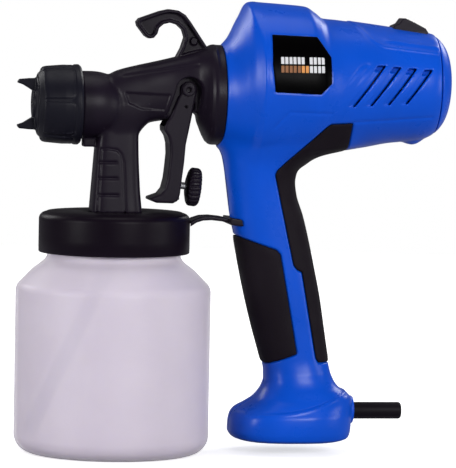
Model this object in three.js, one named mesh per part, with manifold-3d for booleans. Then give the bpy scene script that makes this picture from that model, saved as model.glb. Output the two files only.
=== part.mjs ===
// Electric HVLP spray gun: a turbine housing on a pistol handle, a spray head with a trigger, and a cup.
// Millimetres. +Z is up, the nozzle points along -X, and the gun is symmetric about the plane Y = 0.
// The origin is the centre of the cup's flat bottom.
import * as THREE from "three";
import { mergeVertices } from "three/addons/utils/BufferGeometryUtils.js";
import Module from "manifold-3d";

const wasm = await Module();
wasm.setup();

// ---------------------------------------------------------------- driving dimensions
const gap = 0.3; // clearance between pieces that touch
const cupRadius = 55;
const cupBodyTop = 94;
const cupRim = 129.6;
const lidRadius = 42.6;
const lidBottom = 113;
const lidTop = 135.5;
const nozzleZ = 196; // height of the nozzle and needle axis
const collarZ = 202.5; // height of the collar axis
const collarRadius = 28;
const headBack = 58.6; // where the spray head meets the housing
const motorZ = 209.5; // height of the motor shaft
const wall = 3.2; // housing wall
const overlayDepth = 1.6; // how deep the rubber grips lie in the wall
const overlayProud = 0.4; // how far they stand out of it
const capSplit = 181; // where the rear cap meets the barrel
const barrelEnd = 190; // the rear end of the cap
const pivot = { x: 39.4, z: 205.3 };
const drivePinX = 38.2;
const triggerHalfWidth = 11.2;
const knobTilt = 6; // degrees that the flow screw points below the horizontal
const sleeveZ = 23.4;
const sleeveRadius = 4.8;
const flexRadius = 3.4; // bore of the cable sleeve
const farOut = 60; // past the widest piece on either side
const farAway = 300; // past the whole gun

// ---------------------------------------------------------------- solids
function solidOf(geometry) {
  const bare = geometry.clone();
  bare.deleteAttribute("normal");
  bare.deleteAttribute("uv");
  const merged = mergeVertices(bare, 1e-4);
  const corners = merged.index.array;
  const kept = [];
  for (let i = 0; i < corners.length; i += 3) {
    const [a, b, c] = corners.slice(i, i + 3);
    if (a !== b && b !== c && c !== a) kept.push(a, b, c);
  }
  const vertProperties = new Float32Array(merged.attributes.position.array);
  return new wasm.Manifold(new wasm.Mesh({ numProp: 3, vertProperties, triVerts: new Uint32Array(kept) }));
}

function geometryOf(solid) {
  const mesh = solid.getMesh();
  const geometry = new THREE.BufferGeometry();
  geometry.setAttribute("position", new THREE.BufferAttribute(mesh.vertProperties, 3));
  geometry.setIndex(new THREE.BufferAttribute(mesh.triVerts, 1));
  geometry.computeVertexNormals();
  return geometry;
}

const join = (...solids) => solids.reduce((whole, solid) => whole.add(solid));
const cut = (solid, ...tools) => tools.reduce((left, tool) => left.subtract(tool), solid);

function box(x0, x1, y0, y1, z0, z1) {
  const shape = new THREE.BoxGeometry(x1 - x0, y1 - y0, z1 - z0);
  return solidOf(shape.translate((x0 + x1) / 2, (y0 + y1) / 2, (z0 + z1) / 2));
}

// Turns a profile of [distance along the axis, radius] about a line along X at height z.
function turnedAlongX(profile, z, segments = 32) {
  const points = profile.map(([along, radius]) => new THREE.Vector2(radius, along));
  const shape = new THREE.LatheGeometry(points, segments).rotateZ(-Math.PI / 2);
  return facingOut(shape.translate(0, 0, z));
}

// Turns a profile of [radius, height] about a vertical line.
function turnedAlongZ(profile, segments = 40, x = 0) {
  const points = profile.map(([radius, height]) => new THREE.Vector2(radius, height));
  return facingOut(new THREE.LatheGeometry(points, segments).rotateX(Math.PI / 2).translate(x, 0, 0));
}

function facingOut(geometry) {
  const solid = solidOf(geometry);
  return solid.volume() > 0 ? solid : solidOf(flipped(geometry));
}

function flipped(geometry) {
  const turned = geometry.clone();
  const index = turned.index.array;
  for (let i = 0; i < index.length; i += 3) [index[i], index[i + 1]] = [index[i + 1], index[i]];
  return turned;
}

const cylinderX = (x0, x1, radius, z, segments = 24) =>
  turnedAlongX([[x0, 0], [x0, radius], [x1, radius], [x1, 0]], z, segments);

function cylinderY(y0, y1, radius, x, z, segments = 20) {
  const shape = new THREE.CylinderGeometry(radius, radius, y1 - y0, segments);
  return solidOf(shape.translate(x, (y0 + y1) / 2, z));
}

function ringX(x0, x1, inner, outer, z, segments = 28) {
  return turnedAlongX([[x0, inner], [x0, outer], [x1, outer], [x1, inner], [x0, inner]], z, segments);
}

// A plate seen from the side: an outline in X and Z, between two values of Y.
function plate(shape, y0, y1, curveSegments = 6) {
  const solid = new THREE.ExtrudeGeometry(shape, { depth: y1 - y0, bevelEnabled: false, curveSegments });
  return solidOf(solid.rotateX(Math.PI / 2).translate(0, y1, 0));
}

const polygon = (points) => new THREE.Shape(points.map(([x, z]) => new THREE.Vector2(x, z)));

// A closed body through rings of points that all go round the same way.
function loft(rings) {
  const count = rings[0].length;
  const index = [];
  rings.slice(1).forEach((_, r) => {
    for (let i = 0; i < count; i++) {
      const a = r * count + i;
      const b = r * count + ((i + 1) % count);
      index.push(a, b, b + count, a, b + count, a + count);
    }
  });
  const last = (rings.length - 1) * count;
  for (let i = 1; i + 1 < count; i++) index.push(0, i + 1, i, last, last + i, last + i + 1);
  const geometry = new THREE.BufferGeometry().setFromPoints(rings.flat());
  return facingOut(geometry.setIndex(index));
}

// Points round a superellipse: power 2 is an ellipse, and more is squarer.
function around(count, halfWidth, halfHeight, power, place) {
  return Array.from({ length: count }, (_, i) => {
    const turn = (2 * Math.PI * i) / count;
    const reach = (value, half) => Math.sign(value) * Math.abs(value) ** (2 / power) * half;
    return place(reach(Math.cos(turn), halfWidth), reach(Math.sin(turn), halfHeight));
  });
}

function tube(points, section, steps) {
  const path = new THREE.CatmullRomCurve3(points.map((p) => new THREE.Vector3(...p)), false, "centripetal");
  return facingOut(new THREE.ExtrudeGeometry(section, { steps, extrudePath: path, curveSegments: 5 }));
}

function disc(radius, hole = 0) {
  const shape = new THREE.Shape().absarc(0, 0, radius, 0, 2 * Math.PI, false);
  if (hole) shape.holes.push(new THREE.Path().absarc(0, 0, hole, 0, 2 * Math.PI, true));
  return shape;
}

// ---------------------------------------------------------------- housing shape
// Stations along the barrel: x, top, bottom, half width.
const barrelStations = [
  [59, 230.8, 174.2, 28.3],
  [62.8, 235, 172, 30.6],
  [69.4, 248.2, 167, 37.4],
  [74, 255, 164.2, 42.6],
  [77, 255.6, 163.6, 43.6],
  [108, 253.6, 165.4, 43.4],
  [116.4, 247, 171, 41.4],
  [124, 246.6, 172.6, 38.2],
  [135, 245.4, 173.6, 35.4],
  [157, 242.6, 177, 32.4],
  [176, 239.4, 179.2, 30],
  [capSplit, 237.4, 181.4, 28.2],
  [184.4, 234.4, 184.6, 25.2],
  [187.6, 227.6, 191.6, 18.6],
  [barrelEnd, 217, 202, 8.4],
];
// Stations up the handle: z, front, back, half width, squareness.
const handleStations = [
  [7.2, 72.6, 132, 26.6, 2.5],
  [9, 68.8, 135.4, 28.6, 2.5],
  [12.5, 67, 136.6, 29.8, 2.5],
  [17, 67.2, 137, 30.2, 2.5],
  [21, 68, 137.2, 30, 2.5],
  [24.4, 70.2, 137.4, 28.8, 2.5],
  [27.8, 75.8, 137.4, 27, 2.5],
  [31.2, 80.6, 137, 24.8, 2.5],
  [34.7, 83.7, 134.2, 22.8, 2.5],
  [38.1, 85.8, 129.6, 20.8, 2.5],
  [42, 87, 126.6, 19.2, 2.5],
  [46, 87, 124.8, 18, 2.5],
  [54, 85, 123, 17.2, 2.4],
  [72, 79.8, 120, 17.6, 2.4],
  [88, 75.7, 117.4, 18.2, 2.4],
  [106, 71.7, 113.6, 18.6, 2.4],
  [124, 68.2, 109.5, 18.8, 2.4],
  [135, 65.8, 106.6, 19, 2.4],
  [147, 64.1, 102.6, 19.6, 2.4],
  [154, 63.2, 101.7, 20.4, 2.4],
  [160, 62.4, 103.8, 21.6, 2.4],
  [166, 61.3, 112, 23.4, 2.4],
  [171, 60.2, 124.6, 25, 2.4],
  [174, 59.6, 134, 25.6, 2.4],
  [182, 60, 146, 25, 2.4],
];
const barrelSides = 26;
const handleSides = 24;

function barrelShape(inset, from = 0) {
  const inside = barrelStations.filter(([x]) => x > from);
  return loft(inside.map(([x, top, bottom, halfWidth]) => {
    const middle = (top + bottom) / 2;
    const halfHeight = Math.max((top - bottom) / 2 - inset, 1);
    const endShare = Math.max((x - capSplit) / (barrelEnd - capSplit), 0);
    const along = x - inset * endShare;
    const place = (y, z) => new THREE.Vector3(along, y, middle + z);
    return around(barrelSides, Math.max(halfWidth - inset, 1), halfHeight, 2, place);
  }));
}

function handleShape(inset) {
  return loft(handleStations.map(([z, front, back, halfWidth, power], i) => {
    const middle = (front + back) / 2;
    const level = i === 0 ? z + inset : z;
    const place = (x, y) => new THREE.Vector3(middle + x, y, level);
    return around(handleSides, (back - front) / 2 - inset, halfWidth - inset, power, place);
  }));
}

// The air space starts in front of the barrel's front face, so that the air outlet is open.
const airOutletRadius = 25;
const airOutlet = cylinderX(barrelStations[0][0] - 1, barrelStations[0][0] + 1.5, airOutletRadius, collarZ);
const housingOutside = barrelShape(0).add(handleShape(0));
const housingInside = join(barrelShape(wall), handleShape(wall), airOutlet);

// ---------------------------------------------------------------- outlines on the housing's side
const rearGripOutline = polygon([
  [129.6, 188.2], [116.8, 187.6], [89.2, 161.3], [87.6, 156.5], [91.4, 144], [100, 107.5], [105, 103.6],
  [114.6, 54.5], [117, 51.6], [126.5, 51.6], [126, 95], [118, 125], [108, 145], [112, 158], [129.6, 164],
]);
const frontGripOutline = polygon([
  [60, 124.4], [90.4, 115.8], [92.4, 112], [102.6, 57.4], [88, 51.4], [78, 50], [60, 100],
]);
const labelOutline = polygon([
  [82.2, 237.4], [107.8, 236.5], [115.4, 225.2], [115.4, 210.7], [109.1, 204.5], [83.2, 205.5], [81.6, 221],
]);
const grown = (shape, by) => {
  const points = shape.getPoints();
  return new THREE.Shape(points.map((p, i) => {
    const before = points[(i + points.length - 1) % points.length];
    const after = points[(i + 1) % points.length];
    const inward = p.clone().sub(before).normalize().add(p.clone().sub(after).normalize());
    const turn = (p.x - before.x) * (after.y - p.y) - (p.y - before.y) * (after.x - p.x);
    const orientation = THREE.ShapeUtils.isClockWise(points) ? -1 : 1;
    return p.clone().add(inward.normalize().multiplyScalar(by * Math.sign(turn) * orientation));
  }));
};
// A rubber skin let into the housing wall, and the pocket that it lies in.
function overlay(outline, proud, depth) {
  const skin = barrelShape(-proud).add(handleShape(-proud));
  const core = barrelShape(depth).add(handleShape(depth));
  return skin.subtract(core).intersect(plate(outline, -farOut, farOut));
}
const labelDepth = 0.9;
const pocket = (outline, depth) => overlay(grown(outline, gap), 1, depth);
const overlaySkin = (outline) => overlay(outline, overlayProud, overlayDepth - gap);

function largest(solid) {
  return solid.decompose().sort((a, b) => b.volume() - a.volume())[0];
}
const leftSide = (from = 0) => box(0, farAway, -farOut, -from, 0, farAway);
const rightSide = (from = 0) => box(0, farAway, from, farOut, 0, farAway);

// ---------------------------------------------------------------- housing
const screwPlaces = [[84, 22], [97, 84], [77, 150], [103.5, 173], [168, 187], [68, 236]];
const screw = {
  radius: 1.45, headRadius: 3.1, headHeight: 2.4, // the screw itself
  tip: -8, headFrom: 9, // its two ends, from the middle plane
  hole: 1.8, headHole: 3.6, // the holes that it goes into
};
const bossRadius = 4;
const switchX = [156.2, 176.4];
const switchHalfWidth = 7.4;

// Louvred vents: each slot is a slanted parallelogram cut through the side of the barrel.
const vent = { count: 4, pitch: 9.97, step: 0.7, width: 4.6, foot: [128.6, 196.6], rise: [17.2, 23.4] };
function vents() {
  const slots = Array.from({ length: vent.count }, (_, i) => {
    const [x, z] = [vent.foot[0] + i * vent.pitch, vent.foot[1] + i * vent.step];
    const [topX, topZ] = [x + vent.rise[0], z + vent.rise[1] - i];
    const outline = [[x, z], [x + vent.width, z], [topX + vent.width, topZ], [topX, topZ]];
    return plate(polygon(outline), -farOut, farOut);
  });
  return join(...slots);
}

// The plinth that the rocker sits in, on the barrel's back.
const plinthHalfWidth = 10;
const plinthOutline = polygon([[136, 246], [147, 247], [176, 243.4], [180.4, 238], [176, 226], [136, 226]]);

function housingShell() {
  const bosses = screwPlaces.map(([x, z]) => cylinderY(-farOut, farOut, bossRadius, x, z, 14));
  const outside = housingOutside.add(plate(plinthOutline, -plinthHalfWidth, plinthHalfWidth));
  const hollow = housingInside.subtract(join(...bosses));
  const pockets = [
    pocket(rearGripOutline, overlayDepth),
    pocket(frontGripOutline, overlayDepth),
    pocket(labelOutline, labelDepth).intersect(leftSide()),
  ];
  const holes = screwPlaces.flatMap(([x, z]) => [
    cylinderY(screw.tip - 1, farOut, screw.hole, x, z, 10),
    cylinderY(screw.headFrom - gap, farOut, screw.headHole, x, z, 14),
  ]);
  const switchHole = box(...switchX, -switchHalfWidth, switchHalfWidth, 228, farAway);
  const sleeveHole = cylinderX(130, 145, sleeveRadius + gap, sleeveZ);
  const behindCap = box(capSplit, farAway, -farOut, farOut, 0, farAway);
  return cut(outside, hollow, ...pockets, ...holes, switchHole, sleeveHole, vents(), behindCap);
}

const shell = housingShell();
const leftHousing = largest(shell.intersect(leftSide(gap / 2)));
const rightHousing = largest(shell.intersect(rightSide(gap / 2)));

function rearCap() {
  const rear = 150; // only the stations behind this are lofted again
  const room = box(capSplit + gap, farAway, -farOut, farOut, 0, farAway);
  return barrelShape(0, rear).intersect(room).subtract(barrelShape(wall, rear));
}

const labelPlate = () => largest(overlay(labelOutline, 0.2, labelDepth - gap).intersect(leftSide()));

// A raised bar on the label, in place of any lettering.
function labelMark() {
  const bar = polygon([[86.5, 222.4], [109.4, 222.4], [107.4, 219.4], [86.5, 219.4]]);
  return largest(overlay(bar, 0.9, -0.5).intersect(leftSide()));
}

function housingScrew([x, z]) {
  return join(
    cylinderY(screw.tip, screw.headFrom + 1, screw.radius, x, z, 10),
    cylinderY(screw.headFrom, screw.headFrom + screw.headHeight, screw.headRadius, x, z, 14),
  );
}

// ---------------------------------------------------------------- power switch
const rockerPivot = { x: 166.2, z: 240.6 };
function rocker() {
  const side = polygon([
    [157.6, 240.2], [157.8, 243], [162.4, 247.6], [164.6, 247], [175, 242.2], [175.2, 239], [170, 237.2],
    [162, 237.2],
  ]);
  return plate(side, -switchHalfWidth + 1, switchHalfWidth - 1);
}

function switchBody() {
  const room = cylinderY(-farOut, farOut, 10.6, rockerPivot.x, rockerPivot.z, 24);
  const block = box(switchX[0] + gap, switchX[1] - gap, -7, 7, 225, 240.2);
  const well = box(switchX[0] + 1.1, switchX[1] - 0.9, -6.7, 6.7, 234, 250);
  return block.subtract(well).subtract(room.intersect(well));
}

// ---------------------------------------------------------------- motor
// Two field poles inside a ring of laminations, each pole with a winding that shows at both ends.
const lamination = { from: 116, to: 148 };
const coilOverhang = 5;
function stator() {
  const { from, to } = lamination;
  const yoke = ringX(from, to, 21.4, 25.6, motorZ, 28);
  const bore = ringX(from, to, 17.2, 21.8, motorZ, 28);
  const winding = ringX(from - coilOverhang, to + coilOverhang, 18, 21, motorZ, 28);
  const aboveAndBelow = (height) => join(
    box(0, farAway, -farOut, farOut, motorZ + height, farAway),
    box(0, farAway, -farOut, farOut, 0, motorZ - height),
  );
  return join(yoke, bore.intersect(aboveAndBelow(6)), winding.intersect(aboveAndBelow(8)));
}

// Shaft, core with its windings, and commutator, turned in one.
const shaftRadius = 2.6;
const shaftBore = shaftRadius + gap;
function rotor() {
  return turnedAlongX([
    [79, 0], [79, shaftRadius], [112, shaftRadius], [114, 11], [118, 16.2], [146, 16.2], [150, 11], [151.6, 8.6],
    [163, 8.6], [163, shaftRadius], [177, shaftRadius], [177, 0],
  ], motorZ, 24);
}

const bladeCount = 9;
const impellerRadius = 36;
function impeller() {
  const hub = turnedAlongX([
    [81, shaftBore], [81, 9], [90, 11], [92.4, impellerRadius], [94, impellerRadius], [94, shaftBore],
    [81, shaftBore],
  ], motorZ, 28);
  const bladeHeight = 27;
  const bladeMiddle = impellerRadius - 1 - bladeHeight / 2;
  const blades = Array.from({ length: bladeCount }, (_, i) => {
    const blade = new THREE.BoxGeometry(9, 1.2, bladeHeight).translate(88.4, 0, bladeMiddle);
    blade.rotateX((2 * Math.PI * i) / bladeCount);
    return solidOf(blade.translate(0, 0, motorZ));
  });
  return join(hub, ...blades);
}

const fanBackPlate = () => ringX(96, 98, 11, 38.4, motorZ, 32);
const frontBearing = () => ringX(101, 107, shaftBore, 9, motorZ, 24);
const rearBearing = () => ringX(169, 175, shaftBore, 8, motorZ, 24);

// Two arms that carry a bearing cup, from the cup out to the housing's wall.
function bracketArms(x0, x1, near, far) {
  const arm = box(x0, x1, near, far, motorZ - 4, motorZ + 4);
  return arm.add(arm.mirror([0, 1, 0]));
}

function frontBracket() {
  const cup = turnedAlongX([
    [98.4, 6], [98.4, 12], [108.9, 12], [108.9, 9.3], [100.6, 9.3], [100.6, 6], [98.4, 6],
  ], motorZ, 24);
  return cup.add(bracketArms(103, 106, 11, 31));
}

function rearBracket() {
  const cup = turnedAlongX([
    [167.4, 8.3], [167.4, 11], [177.6, 11], [177.6, 5], [175.4, 5], [175.4, 8.3], [167.4, 8.3],
  ], motorZ, 24);
  return cup.add(bracketArms(169, 172, 10, 25));
}

// A brass box with its carbon brush, pressed towards the commutator.
function brushHolder() {
  const [near, far] = [9, 22];
  const brush = box(155, 161, near, far, motorZ - 2.4, motorZ + 2.4);
  const sheath = box(154, 162, near + 2.5, far - 1, motorZ - 3.6, motorZ + 3.6);
  return brush.add(sheath);
}

const airFilter = () => cylinderX(179.2, 183.2, 20.6, motorZ, 28);

// ---------------------------------------------------------------- handle contents and cable exit
const capacitor = () => box(84, 100, -6, 6, 118, 132);

function cableSleeve() {
  const outside = turnedAlongX([
    [128.6, 0], [128.6, 8], [130.6, 8], [130.6, sleeveRadius], [165.2, sleeveRadius], [166.8, sleeveRadius - 1.4],
    [166.8, 0],
  ], sleeveZ, 20);
  return outside.subtract(cylinderX(120, 170, flexRadius, sleeveZ, 14));
}

function cordClamp() {
  const block = box(116, 123, -9, 9, sleeveZ - 6, sleeveZ + 6.4);
  return block.subtract(cylinderX(110, 130, flexRadius, sleeveZ, 14));
}

// ---------------------------------------------------------------- spray head
// Stations along the head's body: x, top, bottom, half width.
const bodyStations = [
  [-8, 211, 184, 11],
  [0, 215.8, 180, 13],
  [12, 218.7, 181.4, 13.6],
  [18.7, 220.2, 186.6, 13.6],
  [30, 222.9, 187.2, 13.6],
  [34, 223.9, 193, 14],
  [44, 226.8, 195.4, 16.4],
  [48, 228, 192, 20],
  [54, 229.6, 184, 24],
];
// Stations up the neck: z, front, back, half width.
const neckStations = [
  [lidTop + gap, -14.2, 14.8, 12.6],
  [150, -13.2, 13.4, 12],
  [175, -11.4, 12.2, 11.4],
  [190, -10, 12, 11],
];
const barrelRadius = 18.9;
const threadRadius = 18.4;
const dome = { from: -16, length: 22, points: 5 };

function headBarrel() {
  const curve = Array.from({ length: dome.points }, (_, i) => {
    const turn = (i * Math.PI) / 2 / dome.points;
    return [dome.from + dome.length * Math.sin(turn), barrelRadius * Math.cos(turn) ** 0.8];
  });
  return turnedAlongX([
    [-37.6, 0], [-37.6, threadRadius], [-20.6, threadRadius], [-20.6, barrelRadius], ...curve,
    [dome.from + dome.length, 0],
  ], nozzleZ, 28);
}

function headBody() {
  return loft(bodyStations.map(([x, top, bottom, halfWidth]) => {
    const place = (y, z) => new THREE.Vector3(x, y, (top + bottom) / 2 + z);
    return around(20, halfWidth, (top - bottom) / 2, 3, place);
  }));
}

function neck() {
  return loft(neckStations.map(([z, front, back, halfWidth]) => {
    const place = (x, y) => new THREE.Vector3((front + back) / 2 + x, y, z);
    return around(20, (back - front) / 2, halfWidth, 4, place);
  }));
}

function collar() {
  return turnedAlongX([
    [44.6, 0], [44.9, 9], [46.6, 17], [49.4, 23.4], [51.4, 27.2], [52.6, collarRadius], [headBack, collarRadius],
    [headBack, 0],
  ], collarZ, 32);
}

// The head is narrow where the trigger's cheeks pass on either side of it.
const cheekInside = 9.4;
function triggerRoom() {
  const room = polygon([
    [32, 212], [46.5, 212.5], [47.6, 200], [44.6, 190], [42.4, 176], [25.6, 176], [25.8, 186], [29.5, 197],
  ]);
  const half = plate(room, cheekInside - gap, farOut);
  return half.add(half.mirror([0, 1, 0]));
}

function sprayHead() {
  const solid = join(headBarrel(), headBody(), neck(), collar());
  const nozzleSeat = ringX(-24, -4, 6.3, 9, nozzleZ, 20);
  const barrelRoom = cylinderX(-40, -9, 15.6, nozzleZ, 24);
  const springTube = ringX(44, 57, 4.7, 7.4, nozzleZ, 16);
  const airRoom = cylinderX(49.6, 60, 23, collarZ, 24);
  const sealGroove = ringX(56.2, 60, 24, 26.6, collarZ, 24);
  const needleBore = cylinderX(-24, 60, 4.7, nozzleZ, 16);
  const nozzleBore = cylinderX(-30, -12, 6.3, nozzleZ, 20);
  const riser = turnedAlongZ([[0, 120], [3, 120], [3, nozzleZ], [0, nozzleZ]], 16);
  const airway = box(-12, 52, -3.4, 3.4, 205, 213);
  const pinSlot = box(drivePinX - 2.6, drivePinX + 5, -12, 12, nozzleZ - 2, nozzleZ + 2);
  const pinHole = cylinderY(-30, 30, 2.3, pivot.x, pivot.z, 16);
  const hollowed = cut(solid, barrelRoom, airRoom, sealGroove, triggerRoom());
  return cut(join(hollowed, nozzleSeat, springTube), needleBore, nozzleBore, riser, airway, pinSlot, pinHole);
}

const collarSeal = () => ringX(56.6, 58.5, 24.4, 26.1, collarZ, 24);

// The hook is an I-section: a rim round a thinner web.
const hookHalfWidth = 5.4;
const hookWeb = 2;
const hookRim = 1.5;
const hookOutline = [
  [34.4, 224.6], [36.4, 229.4], [37.7, 234.6], [36.4, 238.8], [33.4, 241.6], [29.4, 242.8], [25.4, 241.8],
  [22.9, 239.6], [22, 236.4], [20, 234], [17.6, 233.6], [15.2, 235], [10.8, 240.6], [10.2, 243], [11.8, 244.9],
  [23.6, 249.2], [28.6, 250.3], [33.8, 249.6], [37.8, 247.2], [40.8, 243.4], [50, 229.9], [42, 227.2],
];
function hangingHook() {
  const whole = plate(polygon(hookOutline), -hookHalfWidth, hookHalfWidth);
  const recess = plate(grown(polygon(hookOutline), -hookRim), hookWeb, hookHalfWidth + 1);
  return cut(whole, recess, recess.mirror([0, 1, 0]));
}

// ---------------------------------------------------------------- nozzle set
function airCap() {
  const body = turnedAlongX([
    [-38.4, 14], [-38.4, 18.6], [-41.6, 18.6], [-41.6, 15.8], [-45, 15.8], [-46.4, 8.4], [-47.8, 7.4], [-47.8, 2.4],
    [-44.6, 2.4], [-43.4, 13], [-38.4, 14],
  ], nozzleZ, 32);
  const horn = polygon([[-44, 7.4], [-48, 7.8], [-52.6, 10.6], [-56, 11.8], [-54.6, 14], [-43.4, 14.4]]);
  const upper = plate(horn, -4.2, 4.2);
  const horns = upper.add(upper.mirror([0, 0, 1]));
  return body.add(horns.translate([0, 0, nozzleZ]));
}

function airCapRing() {
  return turnedAlongX([
    [-45, 16.2], [-44.4, 17.4], [-41.4, 20.8], [-24, 22.1], [-20.6, 22.1], [-20.6, 19.2], [-42, 19.2],
    [-42, 16.2], [-45, 16.2],
  ], nozzleZ, 36);
}

function fluidNozzle() {
  return turnedAlongX([
    [-47.4, 1.15], [-47.4, 1.9], [-42.6, 2.4], [-40, 5], [-33, 7], [-30, 7], [-30, 5.9], [-13, 5.9], [-13, 3.2],
    [-38, 3.2], [-43, 1.15], [-47.4, 1.15],
  ], nozzleZ, 20);
}

const needleBack = 41;
function needle() {
  const rod = turnedAlongX([
    [-48.2, 0], [-47.2, 0.45], [-43, 0.8], [-38, 1.2], [35.4, 1.2], [35.4, 4.2], [needleBack, 4.2], [needleBack, 0],
  ], nozzleZ, 14);
  return rod.subtract(cylinderY(-6, 6, 1.5, drivePinX, nozzleZ, 12));
}
// The pin crosses the needle's collar, and its ends sit in the trigger's cheeks.
const drivePin = () => cylinderY(-triggerHalfWidth, triggerHalfWidth, 1.2, drivePinX, nozzleZ, 12);
const needlePacking = () => ringX(-3.5, 6, 1.5, 4.4, nozzleZ, 18);

function needleSpring() {
  const turns = 4;
  const coilRadius = 3.6;
  const [from, to] = [needleBack + 1, 54];
  const stepsPerTurn = 8;
  const coil = Array.from({ length: turns * stepsPerTurn + 1 }, (_, i) => {
    const turn = (2 * Math.PI * i) / stepsPerTurn;
    const along = from + ((to - from) * i) / (turns * stepsPerTurn);
    return [along, coilRadius * Math.cos(turn), nozzleZ + coilRadius * Math.sin(turn)];
  });
  const wire = new THREE.Shape().absarc(0, 0, 0.45, 0, 2 * Math.PI, false);
  const path = new THREE.CatmullRomCurve3(coil.map((p) => new THREE.Vector3(...p)));
  const steps = turns * stepsPerTurn;
  return facingOut(new THREE.ExtrudeGeometry(wire, { steps, extrudePath: path, curveSegments: 3 }));
}
const springPlug = () => cylinderX(54.9, 57.2, 4.3, nozzleZ, 18);

// ---------------------------------------------------------------- trigger and flow knob
const triggerFront = [
  [35, 203.4], [33.1, 200.4], [28.6, 190], [26.2, 187.2], [24.6, 184], [25.6, 180.8], [28.8, 177], [29.4, 170],
  [29, 162], [28.2, 155], [26.8, 149.4], [23.6, 146.2], [16.6, 143.8], [17.4, 142.2], [21.4, 141.4],
];
const triggerBack = [
  [31.6, 141.4], [34.4, 143.2], [35.8, 148], [36.6, 156], [37.6, 164], [38.4, 174.6], [40, 182.6], [41.4, 190],
  [44, 203.8],
];
function trigger() {
  const side = plate(polygon([...triggerFront, ...triggerBack]), -triggerHalfWidth, triggerHalfWidth);
  const eye = cylinderY(-triggerHalfWidth, triggerHalfWidth, 4.8, pivot.x, pivot.z, 24);
  const channelFront = triggerFront.slice(5).map(([x, z]) => [x + 3, Math.max(z, 145.2)]);
  const channel = plate(polygon([
    [20, 230], [20, 186.8], [28, 181], ...channelFront.slice(1, 6), [31, 147], [50, 147], [50, 230],
  ]), -cheekInside, cheekInside);
  const knobBlock = box(31, 36, -5, 5, 144, 157);
  const hollowed = join(side, eye).subtract(channel);
  const drivePinHole = cylinderY(-20, 20, 1.55, drivePinX, nozzleZ, 12);
  const pivotHole = cylinderY(-20, 20, 2.3, pivot.x, pivot.z, 16);
  return cut(join(hollowed, knobBlock), pivotHole, drivePinHole, tilted(flowBore()));
}

// The flow screw's own axis runs along X before it is tilted about this point on the trigger's back.
const screwPlace = { x: 36, z: 151.2 };
function tilted(solid) {
  return solid.translate([-screwPlace.x, 0, -screwPlace.z]).rotate([0, knobTilt, 0])
    .translate([screwPlace.x, 0, screwPlace.z]);
}
const flowBore = () => cylinderX(31.4, 40, 2.3, screwPlace.z, 16);
const flowScrew = () => tilted(cylinderX(32, 43, 2, screwPlace.z, 14));

const knobFlutes = 12;
const fluteCircle = 11.5;
function flowKnob() {
  const body = turnedAlongX([
    [40.2, 2.3], [40.2, 6], [41.2, 9.6], [42.4, 10.9], [46.4, 10.9], [48, 9.4], [48, 0],
    [43.3, 0], [43.3, 2.3], [40.2, 2.3],
  ], screwPlace.z, 36);
  const flutes = Array.from({ length: knobFlutes }, (_, i) => {
    const turn = (2 * Math.PI * i) / knobFlutes;
    const [y, z] = [fluteCircle * Math.cos(turn), fluteCircle * Math.sin(turn)];
    return cylinderX(39, 50, 1.1, 0, 8).translate([0, y, screwPlace.z + z]);
  });
  return tilted(cut(body, ...flutes));
}

function pivotPin() {
  const end = triggerHalfWidth + gap;
  const head = cylinderY(end, end + 1.2, 3.6, pivot.x, pivot.z, 20);
  return join(cylinderY(-end - 0.5, end + 0.5, 2, pivot.x, pivot.z, 16), head, head.mirror([0, 1, 0]));
}

// ---------------------------------------------------------------- cup, lid and brace
function arcPoints(x, z, radius, fromDegrees, toDegrees, count) {
  return Array.from({ length: count + 1 }, (_, i) => {
    const turn = THREE.MathUtils.degToRad(fromDegrees + ((toDegrees - fromDegrees) * i) / count);
    return [x + radius * Math.cos(turn), z + radius * Math.sin(turn)];
  });
}

function cup() {
  const skin = 1.6;
  const corner = 10;
  const shoulder = 7;
  const shoulderZ = cupBodyTop - 3;
  const neckRadius = 37.6;
  const neckInside = 35.6;
  return turnedAlongZ([
    [0, 0],
    ...arcPoints(cupRadius - corner, corner, corner, -90, 0, 3),
    ...arcPoints(cupRadius - shoulder, shoulderZ, shoulder, 0, 50, 2),
    [39.6, 107.6], [neckRadius, 110.4], [neckRadius, 120], [39.4, 121.5], [neckRadius, 123],
    [neckRadius, cupRim], [neckInside, cupRim], [neckInside, 109.4], [38.4, 106.4],
    ...arcPoints(cupRadius - shoulder, shoulderZ, shoulder - skin, 50, 0, 1),
    ...arcPoints(cupRadius - corner, corner, corner - skin, 0, -90, 2),
    [0, skin],
  ], 36);
}

function lid() {
  const round = 4;
  const hole = 6.6;
  const inside = 40;
  const ceiling = lidTop - 2.7;
  return turnedAlongZ([
    [hole, ceiling], [inside, ceiling], [inside, lidBottom], [lidRadius, lidBottom],
    ...arcPoints(lidRadius - round, lidTop - round, round, 0, 90, 3),
    [hole, lidTop], [hole, ceiling],
  ], 36);
}

const lidGasket = () => turnedAlongZ([[33, 130], [37.4, 130], [37.4, 132.4], [33, 132.4], [33, 130]], 36);

// A flanged spigot that clamps the lid to the neck and takes the suction tube.
function suctionFitting() {
  return turnedAlongZ([
    [2.9, 119], [4.2, 119], [4.2, 127], [11, 127], [11, 132.4], [6.2, 132.4], [6.2, lidTop],
    [2.9, lidTop], [2.9, 119],
  ], 24);
}

function suctionTube() {
  const route = [
    [0, 0, 118.6], [0, 0, 112], [-3.4, 0, 103], [-12, 0, 86], [-26, 0, 56], [-43, 0, 19.4], [-46, 0, 12],
  ];
  return tube(route, disc(4.4, 3), 12);
}

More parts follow.
